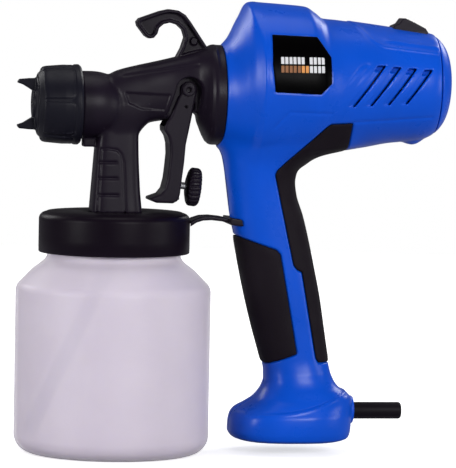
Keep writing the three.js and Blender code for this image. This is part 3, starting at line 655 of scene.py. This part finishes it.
def housing_half(name, side):
    """One half of the clamshell, with its seam along the middle plane."""
    inner, outer, step = SEAM_HALF * side, 46 * side, HOUSING_STEP
    low_y, high_y = (inner - step, outer) if side > 0 else (outer, inner + step)
    b = Block((57, low_y, 5.4), (CAP_SPLIT + 1.5, high_y, 258), step)
    body = housing_body(b)
    boss = smooth_max(from_x_line(b, SLEEVE_Z + 0.6) - BOSS_RADIUS, slab(b.x, *BOSS_X), 1)
    field = smooth_min(body, boss, 0.8)
    knuckle = np.sqrt(((b.x - KNUCKLE_X) / 1.1) ** 2 + b.y**2 + (b.z - KNUCKLE_Z) ** 2) - KNUCKLE_RADIUS
    field = smooth_min(field, knuckle, 2)
    field = field + side_details(b, side)
    field = smooth_max(field, -louvres(b, body), 0.2)
    backing = VENT_BACKING * within(np.maximum(slab(b.x, *VENT_X), slab(b.z, *VENT_Z)), 4)
    hollow = np.maximum(barrel_field(b) + WALL + backing, 112 - b.x)
    field = smooth_max(field, -hollow, 0.4)
    switch_room = np.maximum(np.abs(b.x - ROCKER_X) - SWITCH_HALF_LENGTH, np.abs(b.y) - SWITCH_HALF_WIDTH)
    field = smooth_max(field, -np.maximum(switch_room, SWITCH_FLOOR - b.z), 0.5)
    sleeve_hole = np.maximum(from_x_line(b, SLEEVE_Z) - 5.1, 128 - b.x)
    field = smooth_max(field, -sleeve_hole, 0.4)
    if side > 0:
        for screw in SCREWS:
            hole = from_y_line(b, middle(screw).x, middle(screw).z) - HEAD_HOLE_RADIUS
            field = smooth_max(field, -np.maximum(hole, HEAD_HOLE_FROM - b.y), 0.6)
    seam = inner - b.y if side > 0 else b.y - inner
    field = smooth_max(field, seam, 0.5)
    field = smooth_max(field, b.x - CAP_SPLIT + 0.35, 0.5)
    return skin(name, b, field, BLUE, "gun", name.replace("_shell", "_housing"))


def rear_cap():
    """The domed end of the barrel, hollow to the front."""
    b = Block((CAP_SPLIT - 2, -33, 176), (REAR_END + 2, 33, 242), 0.6)
    field = smooth_max(barrel_field(b), CAP_SPLIT - b.x, 0.6)
    field = smooth_max(field, -np.maximum(barrel_field(b) + WALL, b.x - REAR_END + WALL), 0.4)
    return skin("rear_cap_shell", b, field, BLUE, "filter_cover", "rear_cap")


def grip(name, outline, lowest, highest, node):
    """A rubber skin with a slightly raised middle, let into the housing."""
    b = Block(lowest, highest, 0.6)
    surface = housing_body(b)
    outline_field = outline_distance(b.x, b.z, outline)
    crown = 0.35 * np.clip(-outline_field / 3, 0, 1)
    field = rounded(surface - 0.25 - crown, outline_field, 0.9)
    field = smooth_max(field, -(surface + 1.3), 0.3)
    return skin(name, b, field, GRIP, "gun", node)


# ---- label
PRINT_PITCH = 2.3
PRINT_WIDTH = PRINT_PITCH * 0.8
# Rows of blocks: name, first place, count, bottom and top from the middle, look.
PRINTS = [
    ("print_top_left", 0, 6, 0.3, 4.3, PRINT_WHITE),
    ("print_top_right", 7, 4, 0.3, 4.3, PRINT_WHITE),
    ("print_low_left", 0, 5, -4.4, -0.5, PRINT_BROWN),
    ("print_low_middle", 5, 2, -4.4, -0.5, PRINT_ORANGE),
    ("print_low_right", 7, 4, -4.4, -0.5, PRINT_WHITE),
]


def on_left_side(name, outline, from_skin, to_skin, material, *nodes):
    """A thin plate that follows the left side of the fan casing."""
    xs, zs = [p[0] for p in outline], [p[1] for p in outline]
    b = Block((min(xs) - 2, -47, min(zs) - 2), (max(xs) + 2, -28, max(zs) + 2), 0.4)
    surface = barrel_field(b)
    field = rounded(surface - to_skin, outline_distance(b.x, b.z, outline), 0.25)
    field = np.maximum(field, from_skin - surface)
    return skin(name, b, field, material, "gun", *nodes)


def printed(name, left, count, bottom, top, material, *nodes):
    """A row of plain blocks, which stands where a label has its words."""
    right = left + count * PRINT_PITCH
    b = Block((left - 1, -45, bottom - 1), (right + 1, -40, top + 1), 0.2)
    surface = barrel_field(b)
    across = np.mod(b.x - left, PRINT_PITCH) - PRINT_WIDTH / 2
    block = np.maximum(np.abs(across) - PRINT_WIDTH / 2, slab(b.x, left, right - PRINT_PITCH * 0.2))
    block = np.maximum(block, slab(b.z, bottom, top))
    field = np.maximum(rounded(surface - 0.26, block, 0.15), -0.6 - surface)
    return skin(name, b, field, material, "gun", *nodes)


def label():
    """A glossy plate with two rows of plain blocks."""
    on_left_side("label_skin", LABEL_EDGE, -0.9, 0.12, LABEL, "label_plate")
    for index, (name, first, count, bottom, top, look) in enumerate(PRINTS):
        nodes = ["label_mark"] if index == 0 else []
        printed(name, PRINT_LEFT + PRINT_PITCH * first, count, PRINT_Z + bottom, PRINT_Z + top, look, *nodes)


# ---- spray head
# The nozzle's barrel ends in a dome behind the ring.
NOSE_RADIUS = 18.9
NOSE_DOME_START = -16
NOSE_DOME_LENGTH = 22

# Stations along the head's body: x, top, bottom, half width.
BODY = [
    (-8, 211, 184, 11),
    (0, 215.4, 180, 13),
    (12, 218.7, 181.4, 13.6),
    (18.7, 220.2, 186.4, 13.7),
    (30, 222.9, 188.4, 14),
    (38, 225, 191.6, 15),
    (44, 226.8, 192, 17),
    (48, 228, 190, 20),
    (54, 229.6, 184, 24),
]
# Stations up the neck: z, front, back, half width.
NECK = [
    (HEAD_FOOT, -14.2, 14.8, 12.6),
    (150, -13.2, 13.4, 12),
    (175, -11.4, 12.2, 11.4),
    (194, -9.8, 12, 11),
]
COLLAR = [
    (40, -1), (44.6, -1), (44.9, 9), (46.6, 17), (49.2, 23.2), (51, 26.4), (52.6, 27.7), (54, 28),
    (HEAD_BACK, 28), (HEAD_BACK, -1),
]
# What is cut from the head's cheeks for the trigger's arms.
TRIGGER_ROOM = [
    (32.2, 206), (46.7, 205), (46.4, 199), (44.6, 190), (42.4, 176), (25.6, 176), (25.8, 186),
    (29.5, 197),
]
PIVOT_ROOM = 7.3
CHEEK_DEPTH_FROM = 9.1
PIN_SLOT_X = (35.6, 43.2)
BODY_PANEL = [(3.4, 203.4), (28.6, 202.4), (26, 193.6), (12.4, 194.4), (5.6, 197.4)]
NECK_PANEL = [(-11, 130), (-9.4, 171.4), (-6, 171.8), (-0.4, 171), (1.8, 168.6), (3, 164.4), (4.8, 130)]
BODY_CREASE = [(3, 212.6), (44, 219.4)]
NECK_GROOVES = ((145.7, 0.6), (155.1, 0.1), (164, -0.6))  # height, rear end
NECK_GROOVE_START = -10.6


def nose(b):
    """The short barrel behind the nozzle, with the key that stops the ring."""
    radius = from_x_line(b, NOZZLE_Z)
    barrel = oval_distance(np.maximum(b.x - NOSE_DOME_START, 0), radius, NOSE_DOME_LENGTH, NOSE_RADIUS, 2.3)
    neck_in = 0.6 * within(b.x - RING_BACK - 0.4, 0.8)
    barrel = smooth_max(barrel + neck_in, HEAD_FRONT - b.x, 0.5)
    key = smooth_max(slab(b.x, -19, -8), np.abs(b.y) - 4.6, 1)
    return smooth_min(barrel, smooth_max(key, slab(b.z, 172.4, 184), 1), 1)


def head_body(b):
    """The part from the nose to the collar, with a sunk panel and a crease on each side."""
    top, bottom, half = (through(BODY, column, b.x) for column in (1, 2, 3))
    body = oval_distance(b.y, b.z - (top + bottom) / 2, half, (top - bottom) / 2, 2.9)
    body = smooth_max(body, slab(b.x, BODY[0][0], BODY[-1][0]), 1)
    crease = groove(line_distance(b.x, b.z, BODY_CREASE), 1.6, 0.35)
    return body + crease + 0.75 * within(outline_distance(b.x, b.z, BODY_PANEL), 0.9)


def neck(b):
    """The upright part over the lid, with an outlined panel and three short grooves."""
    front, back, width = (through(NECK, column, b.z) for column in (1, 2, 3))
    field = oval_distance(b.x - (front + back) / 2, b.y, (back - front) / 2, width, 5)
    field = smooth_max(field, slab(b.z, HEAD_FOOT, NECK[-1][0]), 0.8)
    field = field + groove(outline_distance(b.x, b.z, NECK_PANEL), 1.3, 0.6)
    for height, end in NECK_GROOVES:
        reach = within(b.x - end, 1) * within(NECK_GROOVE_START - b.x, 1)
        field = field + groove(b.z - height, 1.4, 0.7) * reach
    return field


def spray_head():
    """The head as one moulding, with the hollows for the trigger, the nozzle, the air and the needle."""
    b = Block((HEAD_FRONT - 1, -29, HEAD_FOOT - 1), (HEAD_BACK + 1, 29, 232), 0.45)
    collar = outline_distance(b.x, from_x_line(b, COLLAR_Z), COLLAR) - 0.2
    head = smooth_min(head_body(b), neck(b), 4)
    head = smooth_min(head, nose(b), 1.6)
    head = smooth_min(head, collar, 2.6)
    radius = from_x_line(b, NOZZLE_Z)
    eye = from_y_line(b, PIVOT.x, PIVOT.z)
    room = np.minimum(outline_distance(b.x, b.z, TRIGGER_ROOM), eye - PIVOT_ROOM)
    cheeks = np.maximum(room, CHEEK_DEPTH_FROM - np.abs(b.y))
    socket = np.maximum(radius - 15.6, b.x + 9)
    air_way = np.maximum(from_x_line(b, COLLAR_Z) - 23, 49.6 - b.x)
    needle_bore = radius - 4.7
    pin_slot = np.maximum(slab(b.x, *PIN_SLOT_X), np.abs(b.z - NOZZLE_Z) - 2)
    pin_slot = np.maximum(pin_slot, np.abs(b.y) - 12)
    pin_bore = eye - 2.3
    cuts = (
        (cheeks, 0.8), (socket, 0.5), (air_way, 0.5), (needle_bore, 0.3), (pin_slot, 0.4), (pin_bore, 0.3),
    )
    for tool, soften in cuts:
        head = smooth_max(head, -tool, soften)
    return skin("spray_head_shell", b, head, BLACK, "gun", "spray_head")


# ---- hook
HOOK = [
    (32.4, 222), (35.8, 228.6), (37.7, 234.6), (36.4, 238.8), (33.4, 241.6), (29.4, 242.8),
    (25.4, 241.8), (22.9, 239.6), (22, 236.4), (20, 234), (17.6, 233.6), (15.2, 235), (10.8, 240.6),
    (10.2, 243), (11.8, 244.9), (23.6, 249.2), (28.6, 250.3), (33.8, 249.6), (37.8, 247.2),
    (40.8, 243.4), (50.6, 229), (50.6, 227), (42, 225),
]


def hanging_hook():
    """A flat hook, sunk on both faces inside a raised rim, with a boss at its foot."""
    b = Block((8, -6.5, 221), (52.4, 6.5, 252), 0.35)
    outline = outline_distance(b.x, b.z, HOOK)
    field = rounded(outline, np.abs(b.y) - 5.4, 1)
    recess = smooth_max(outline + 1.7, 2 - np.abs(b.y), 0.6)
    field = smooth_max(field, -recess, 0.5)
    boss = from_y_line(b, 43, 232.5) - 2
    field = smooth_min(field, np.maximum(boss, np.abs(b.y) - 3.4), 0.8)
    return skin("hook_shell", b, field, BLACK, "gun", "hanging_hook")


# ---- air cap and its ring
# The ring's outside is divided into raised pads.
PAD_COUNT = 6
PAD_ANGLE = math.radians(-82.6)
PAD_GAP = 1.7
PAD_BACK = -25.2
PAD_RISE = 0.6
RING_OUTSIDE, RING_WALL = 21, 19.9
RING = [
    (-45, 15.9), (-44.6, 17.2), (-41.6, 20.4), (-40, 20.8), (-27, 21.9), (-24, 22.5), (-22, 22.6),
    (RING_BACK, 21.4), (RING_BACK, 19.2), (-42, 19.2), (-42, 15.9),
]


def air_cap_ring():
    b = Block((-46, -23.4, NOZZLE_Z - 23.4), (-19.6, 23.4, NOZZLE_Z + 23.4), 0.36)
    radius = from_x_line(b, NOZZLE_Z)
    field = outline_distance(b.x, radius, RING)
    turn = np.arctan2(b.y, b.z - NOZZLE_Z) - PAD_ANGLE
    sector = 2 * math.pi / PAD_COUNT
    half = sector * RING_OUTSIDE / 2 - PAD_GAP / 2
    around = np.abs(np.mod(turn, sector) - sector / 2) * RING_OUTSIDE - half
    pad = rounded(around, b.x - PAD_BACK, 2.6)
    rise = PAD_RISE * np.clip((PAD_BACK + 0.5 - b.x) / 6, 0, 1)
    outside = radius > RING_WALL
    field = field - rise * within(pad, 0.9) * outside
    field = field + groove(pad, 1, 0.3) * (b.x < PAD_BACK + 1.5) * outside
    return skin("ring_shell", b, field, RING_LOOK, "ring", "air_cap_ring")


CAP = [
    (-38.4, 14), (-38.4, 18.6), (-41.6, 18.6), (-41.6, 15.6), (-45, 15.6), (-45.6, 14.8), (-46.2, 8.8),
    (-47.6, 7.6), (-47.8, 2.4), (-44.6, 2.4), (-43.4, 13),
]
HORN = [
    (-44, 7.4), (-48, 7.8), (-52.6, 10.6), (-55.8, 11.7), (-55.8, 12.5), (-54.8, 13.8), (-49, 14.3),
    (-43.4, 14.4),
]
JET_X, JET_RADIUS = -53.4, 0.75  # the air jets in the horns
HOLE_OFFSET, HOLE_RADIUS = 5, 0.8  # the two holes beside the nozzle


def air_cap():
    """A stepped disc with two horns that taper forwards, each with an air jet."""
    b = Block((-57.4, -19.6, NOZZLE_Z - 19.6), (-37.4, 19.6, NOZZLE_Z + 19.6), 0.34)
    disc = outline_distance(b.x, from_x_line(b, NOZZLE_Z), CAP)
    height = np.abs(b.z - NOZZLE_Z)
    width = 4.4 + 0.12 * (b.x + 46)
    horn = rounded(outline_distance(b.x, height, HORN), np.abs(b.y) - width, 0.7)
    field = smooth_min(disc, horn, 1)
    jet = np.sqrt((b.x - JET_X) ** 2 + b.y**2) - JET_RADIUS
    field = smooth_max(field, -np.maximum(jet, height - 13), 0.3)
    for side in (-1, 1):
        hole = from_x_line(b, NOZZLE_Z, side * HOLE_OFFSET) - HOLE_RADIUS
        field = smooth_max(field, -hole, 0.2)
    return skin("air_cap_shell", b, field, RING_LOOK, "cap", "air_cap")


# ---- trigger, its pin and the flow knob
TRIGGER_FRONT = [
    (35, 203.4), (33.1, 200.4), (29.2, 190), (27.4, 187.4), (26, 184.6), (26.2, 182), (28.2, 179),
    (29.3, 175), (29.6, 169), (29, 162), (28.2, 155), (26.8, 149.4), (24.4, 146.4), (18.9, 144.4),
    (18.6, 143), (22.4, 141.6),
]
TRIGGER_BACK = [
    (31.6, 141.4), (34.2, 142.8), (35.6, 146.6), (36.6, 156), (37.6, 164), (38.4, 174.6), (40, 182.6),
    (41.4, 190), (44, 203.8),
]
# The trigger is hollow at the back inside this outline.
CHANNEL = [
    (20, 230), (20, 186.8), (27, 184.4), (30.6, 180), (32.2, 170), (31.8, 160), (30.6, 152),
    (31.4, 147), (50, 147), (50, 230),
]


def trigger():
    """A channel with rounded edges, an eye for its pin and a block that the flow screw goes into."""
    b = Block((15, -12.4, 140), (46, 12.4, 212), 0.36)
    outline = outline_distance(b.x, b.z, TRIGGER_FRONT + TRIGGER_BACK)
    eye = from_y_line(b, PIVOT.x, PIVOT.z)
    outline = smooth_min(outline, eye - 4.8, 0.6)
    field = rounded(outline, np.abs(b.y) - TRIGGER_HALF, 1.3)
    channel = rounded(outline_distance(b.x, b.z, CHANNEL), np.abs(b.y) - 9.4, 1)
    field = smooth_max(field, -channel, 0.5)
    block = smooth_max(smooth_max(slab(b.x, 30, 36), slab(b.z, 143, 157), 0.8), np.abs(b.y) - 5, 0.8)
    field = smooth_min(field, block, 0.8)
    along, across = knob_axes(b)
    field = smooth_max(field, -np.maximum(across - 2.3, 31.4 - along), 0.3)
    return skin("trigger_shell", b, smooth_max(field, 2.3 - eye, 0.3), BLACK, "trigger_lever", "trigger")


def pivot_pin():
    """A pin with a round head at each end, each with a hexagonal recess."""
    b = Block((PIVOT.x - 4.2, -13.4, PIVOT.z - 4.2), (PIVOT.x + 4.2, 13.4, PIVOT.z + 4.2), 0.28)
    radius = from_y_line(b, PIVOT.x, PIVOT.z)
    head = rounded(radius - 3.6, slab(np.abs(b.y), 11.5, 12.7), 0.5)
    shank = np.maximum(radius - 2, np.abs(b.y) - 12)
    turn = np.arctan2(b.x - PIVOT.x, b.z - PIVOT.z)
    hexagon = radius * np.cos(np.mod(turn, math.pi / 3) - math.pi / 6) - 1.35
    field = smooth_max(np.minimum(head, shank), -np.maximum(hexagon, 10.6 - np.abs(b.y)), 0.2)
    return skin("pivot_pin_shell", b, field, BLACK, "gun", "pivot_pin")


SCREW_PLACE = (36, 151.2)  # where the flow screw leaves the trigger
KNOB_TILT = math.radians(6)
FLUTES = 24
KNOB = [
    (40.2, -1), (40.2, 5.6), (41.2, 9.2), (42.2, 10.6), (43, 10.9), (46.2, 10.9), (47.2, 10.4),
    (48, 9.4), (48.2, 7.6), (47.4, 6.8), (47.4, -1),
]


def knob_axes(b):
    """Places along the flow screw's tilted axis, and away from it."""
    x, z = b.x - SCREW_PLACE[0], b.z - SCREW_PLACE[1]
    along = x * math.cos(KNOB_TILT) - z * math.sin(KNOB_TILT)
    up = x * math.sin(KNOB_TILT) + z * math.cos(KNOB_TILT)
    return along + SCREW_PLACE[0], np.sqrt(up**2 + b.y**2)


def flow_knob():
    """A fluted knob on a thin screw."""
    b = Block((38.4, -11.8, 138.4), (50, 11.8, 162.4), 0.3)
    along, radius = knob_axes(b)
    turn = np.arctan2(b.y, b.z - SCREW_PLACE[1])
    field = outline_distance(along, radius, KNOB)
    wave = 0.5 + 0.5 * np.cos(FLUTES * turn)
    field = field + 0.7 * wave**3 * (radius > 8) * within(41.6 - along, 1)
    bore = np.maximum(radius - 2.1, along - 43)
    return skin("flow_knob_shell", b, smooth_max(field, -bore, 0.2), BLACK, "knob", "flow_knob")


# ---- rocker, sleeve, screws and brace
ROCKER_SIDE = [
    (156.4, 240), (156.6, 243.2), (159.8, 244.6), (162, 247.6), (163.6, 247.6), (169.8, 244.8),
    (175.4, 242), (177, 239.6), (176, 238), (170, 237.2), (162, 237.2),
]


ROCKER_RIBS = (165.8, 167.6, 169.4)


def power_rocker():
    """A rocker with three fine ribs across its top."""
    b = Block((155.6, -7.4, 236.2), (178, 7.4, 248.6), 0.3)
    side = outline_distance(b.x, b.z, ROCKER_SIDE)
    field = rounded(side, np.abs(b.y) - 6.4, 0.8)
    ribbed = (b.z > 242) * (np.abs(b.y) < 4.6)
    for x in ROCKER_RIBS:
        field = field - groove(b.x - x, 0.8, 0.3) * ribbed
    return skin("rocker_shell", b, field, BLACK, "rocker", "power_rocker")


def cable_sleeve():
    """A rubber tube with a flange that holds it in the foot's wall."""
    front, back = low("cable_sleeve").x, high("cable_sleeve").x
    b = Block((front - 1, -9, SLEEVE_Z - 9), (back + 1, 9, SLEEVE_Z + 9), 0.34)
    radius = from_x_line(b, SLEEVE_Z)
    field = rounded(radius - 4.8, b.x - back, 1.5)
    flange = smooth_max(radius - 8, slab(b.x, front, front + 2), 0.4)
    field = smooth_min(np.maximum(field, front - b.x), flange, 0.6)
    return skin("sleeve_shell", b, smooth_max(field, 3.4 - radius, 0.5), FLEX, "gun", "cable_sleeve")


THREAD_PITCH, THREAD_DEPTH = 1.2, 0.25


def housing_screw(node):
    """A pan-head screw with a cross recess and a thread."""
    place, tail, head = middle(node), low(node).y, high(node).y
    b = Block((place.x - 3.8, tail - 0.6, place.z - 3.8), (place.x + 3.8, head + 0.6, place.z + 3.8), 0.24)
    dx, dz = b.x - place.x, b.z - place.z
    radius = np.sqrt(dx**2 + dz**2)
    pan = rounded(radius - 3.1, slab(b.y, head - 2.4, head), 0.8)
    thread = THREAD_DEPTH * np.cos(2 * math.pi * b.y / THREAD_PITCH + np.arctan2(dz, dx))
    shank = np.maximum(radius - 1.3 - thread, slab(b.y, tail, head - 1))
    upright = np.maximum(np.abs(dx) - 0.45, np.abs(dz) - 1.7)
    level = np.maximum(np.abs(dz) - 0.45, np.abs(dx) - 1.7)
    recess = np.maximum(np.minimum(upright, level), head - 1.3 - b.y)
    field = smooth_max(np.minimum(pan, shank), -recess, 0.2)
    return skin(node + "_shell", b, field, STEEL, "gun", node)


# The brace's strap, and the clip at its end that bears on the handle.
BRACE = [(38, 126.8), (42, 129.6), (45, 131.6), (49, 132.9), (54, 133.2), (60, 132.6), (66, 131.4), (74, 130)]
BRACE_CLIP = [(64, 133.8), (76, 132.4), (76, 128.4), (64, 129.8)]
STRAP_HALF, CLIP_HALF = 9, 14.6


def lid_brace():
    b = Block((41, -15.6, 126), (72.4, 15.6, 136), 0.36)
    line = line_distance(b.x, b.z, BRACE)
    strap = rounded(line - 1.15, np.abs(b.y) - STRAP_HALF, 0.7)
    strap = strap + 0.5 * within(np.abs(b.y) - 6, 0.8) * (line > 0.5)
    clip = rounded(outline_distance(b.x, b.z, BRACE_CLIP), np.abs(b.y) - CLIP_HALF, 0.7)
    field = smooth_min(strap, clip, 0.8)
    field = smooth_max(field, LID_RADIUS + 0.3 - np.sqrt(b.x**2 + b.y**2), 0.2)
    handle = housing_body(b) - 0.75
    return skin("brace_shell", b, smooth_max(field, -handle, 0.2), BLACK, "gun", "lid_brace")


# ---- cup and lid
CUP_SKIN = 1.6
CUP_CORNER = 10
SHOULDER_RADIUS = 7
SHOULDER = (CUP_RADIUS - SHOULDER_RADIUS, 91)


def cup():
    """A thin bottle with a slightly hollow bottom, a round shoulder and one thread ridge on its neck."""
    corner = (CUP_RADIUS - CUP_CORNER, CUP_CORNER)
    outside = [(0.01, 0.5), (40, 0.5), (42, 0)]
    outside += arc(corner, CUP_CORNER, -84, 0, 14)
    outside += arc(SHOULDER, SHOULDER_RADIUS, 0, 52, 10)
    outside += [(46, 103), (41.2, 106.6), (39, 108.6), (37.8, 110.4), (37.6, 112), (37.6, 119.6)]
    outside += [(38.4, 120.4), (39.2, 121.2), (39.2, 121.8), (38.4, 122.6), (37.6, 123.2)]
    outside += [(37.6, CUP_RIM - 0.4), (37.2, CUP_RIM)]
    inside = [(36, CUP_RIM), (35.6, CUP_RIM - 0.4), (35.6, 110), (36.2, 108.8), (39.6, 105.6), (44.6, 101.8)]
    inside += arc(SHOULDER, SHOULDER_RADIUS - CUP_SKIN, 52, 0, 10)
    inside += arc(corner, CUP_CORNER - CUP_SKIN, 0, -90, 14)
    inside += [(40, CUP_SKIN + 0.2), (0.01, CUP_SKIN + 0.2)]
    return lathe("cup_shell", outside + inside, MILKY, "paint_cup", "cup")


LID_EDGE = 4
LID_CROWN = LID_TOP + 0.8


def cup_lid():
    """A plain lid with a rounded upper edge and a low crown round the neck."""
    profile = [(6.6, LID_TOP - 2.7), (40, LID_TOP - 2.7), (40, LID_BOTTOM), (LID_RADIUS - 0.5, LID_BOTTOM)]
    profile += [(LID_RADIUS, LID_BOTTOM + 0.5), (LID_RADIUS, LID_BOTTOM + 8)]
    profile += arc((LID_RADIUS - LID_EDGE, LID_TOP - LID_EDGE), LID_EDGE, 0, 82, 10)
    profile += [(38, LID_TOP + 0.5), (28, LID_CROWN), (19, LID_CROWN), (17.6, LID_TOP), (6.6, LID_TOP)]
    return lathe("lid_shell", profile, LID_LOOK, "gun", "cup_lid")


# ---- all the pieces
housing_half("left_shell", -1)
housing_half("right_shell", 1)
rear_cap()
grip("rear_grip_skin", REAR_GRIP, (85, -38, 49), (132, 38, 191), "rear_grip")
grip("front_grip_skin", FRONT_GRIP, (62, -22, 47), (105, 22, 126), "front_grip")
label()
spray_head()
hanging_hook()
air_cap_ring()
air_cap()
trigger()
pivot_pin()
flow_knob()
power_rocker()
cable_sleeve()
for node in SCREWS:
    housing_screw(node)
lid_brace()
cup()
cup_lid()

# ---- better finishes on the CAD nodes that stay
FINISHES = {
    "collar_seal": FLEX, "lid_gasket": FLEX, "needle_packing": FLEX,
    "drive_pin": BLACK, "suction_fitting": BLACK, "switch_body": BLACK, "capacitor": BLACK,
    "cord_clamp": BLACK, "front_motor_bracket": BLACK, "rear_motor_bracket": BLACK,
    "fluid_nozzle": BRASS, "spring_plug": BRASS, "brush_holder_left": BRASS, "brush_holder_right": BRASS,
    "needle": STEEL, "needle_spring": STEEL, "flow_screw": STEEL, "rotor": STEEL,
    "front_bearing": STEEL, "rear_bearing": STEEL,
    "impeller": ALUMINIUM, "fan_back_plate": ALUMINIUM, "stator": COPPER,
    "air_filter": FOAM, "suction_tube": TUBE,
}
for node, look in FINISHES.items():
    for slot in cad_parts[node].material_slots:
        slot.material = look


# ---- stage and light
FLOOR_RADIUS, FLOOR_SIDES = 1.6, 96
LIGHTS_AIM = (0.06, 0, 0.13)
# Softboxes: name, place, size, power.
LIGHTS = [
    ("front", (0.65, -2.1, 0.75), 0.55, 25),
    ("left", (-1.8, -0.9, 0.5), 0.6, 20),
    ("fill", (1.9, -0.9, 0.3), 0.9, 13),
    ("top", (0.1, 0.1, 1.9), 1.2, 9),
    ("back_left", (-1.2, 1.4, 1.0), 0.8, 10),
    ("back_right", (1.3, 1.2, 1.1), 0.8, 10),
]


def add_stage():
    """A round pale floor, which ends where the pale background takes over."""
    turns = [2 * math.pi * i / FLOOR_SIDES for i in range(FLOOR_SIDES)]
    rim = [(FLOOR_RADIUS * math.cos(t), FLOOR_RADIUS * math.sin(t), 0) for t in turns]
    mesh = bpy.data.meshes.new("floor")
    mesh.from_pydata(rim, [], [list(range(FLOOR_SIDES))])
    floor = bpy.data.objects.new("floor", mesh)
    bpy.context.scene.collection.objects.link(floor)
    n = Nodes("floor_paper")
    n.shader.inputs["Base Color"].default_value = (0.93, 0.93, 0.93, 1)
    n.shader.inputs["Roughness"].default_value = 0.9
    n.shader.inputs["Specular IOR Level"].default_value = 0.1
    n.shader.inputs["Emission Color"].default_value = (1, 1, 1, 1)
    n.shader.inputs["Emission Strength"].default_value = 0.62
    grey = n.add("ShaderNodeBsdfDiffuse", Color=(0.4, 0.4, 0.42, 1))
    seen = n.add("ShaderNodeMixShader")
    n.link(n.add("ShaderNodeLightPath").outputs["Is Camera Ray"], seen.inputs["Fac"])
    n.link(grey.outputs["BSDF"], seen.inputs[1])
    n.link(n.shader.outputs["BSDF"], seen.inputs[2])
    n.link(seen.outputs["Shader"], n.tree.nodes["Material Output"].inputs["Surface"])
    mesh.materials.append(n.material)


def add_light(name, location, size, power):
    """A square softbox that faces the gun."""
    data = bpy.data.lights.new(name, "AREA")
    data.shape = "SQUARE"
    data.size = size
    data.energy = power
    light = bpy.data.objects.new(name, data)
    light.location = location
    aim = Vector(LIGHTS_AIM) - Vector(location)
    light.rotation_euler = aim.to_track_quat("-Z", "Y").to_euler()
    bpy.context.scene.collection.objects.link(light)


def add_world():
    """White to look at, but dim as a light, so that black plastic stays black."""
    world = bpy.data.worlds.new("studio")
    world.use_nodes = True
    tree = world.node_tree
    seen = tree.nodes["Background"]
    seen.inputs["Strength"].default_value = 1.0
    seen.inputs["Color"].default_value = (1, 1, 1, 1)
    dim = tree.nodes.new("ShaderNodeBackground")
    dim.inputs["Color"].default_value = (0.96, 0.95, 1, 1)
    dim.inputs["Strength"].default_value = 0.12
    path = tree.nodes.new("ShaderNodeLightPath")
    mixed = tree.nodes.new("ShaderNodeMixShader")
    tree.links.new(path.outputs["Is Camera Ray"], mixed.inputs["Fac"])
    tree.links.new(dim.outputs["Background"], mixed.inputs[1])
    tree.links.new(seen.outputs["Background"], mixed.inputs[2])
    tree.links.new(mixed.outputs["Shader"], tree.nodes["World Output"].inputs["Surface"])
    bpy.context.scene.world = world


add_stage()
add_world()
for settings in LIGHTS:
    add_light(*settings)

bpy.context.scene.view_settings.view_transform = "Standard"
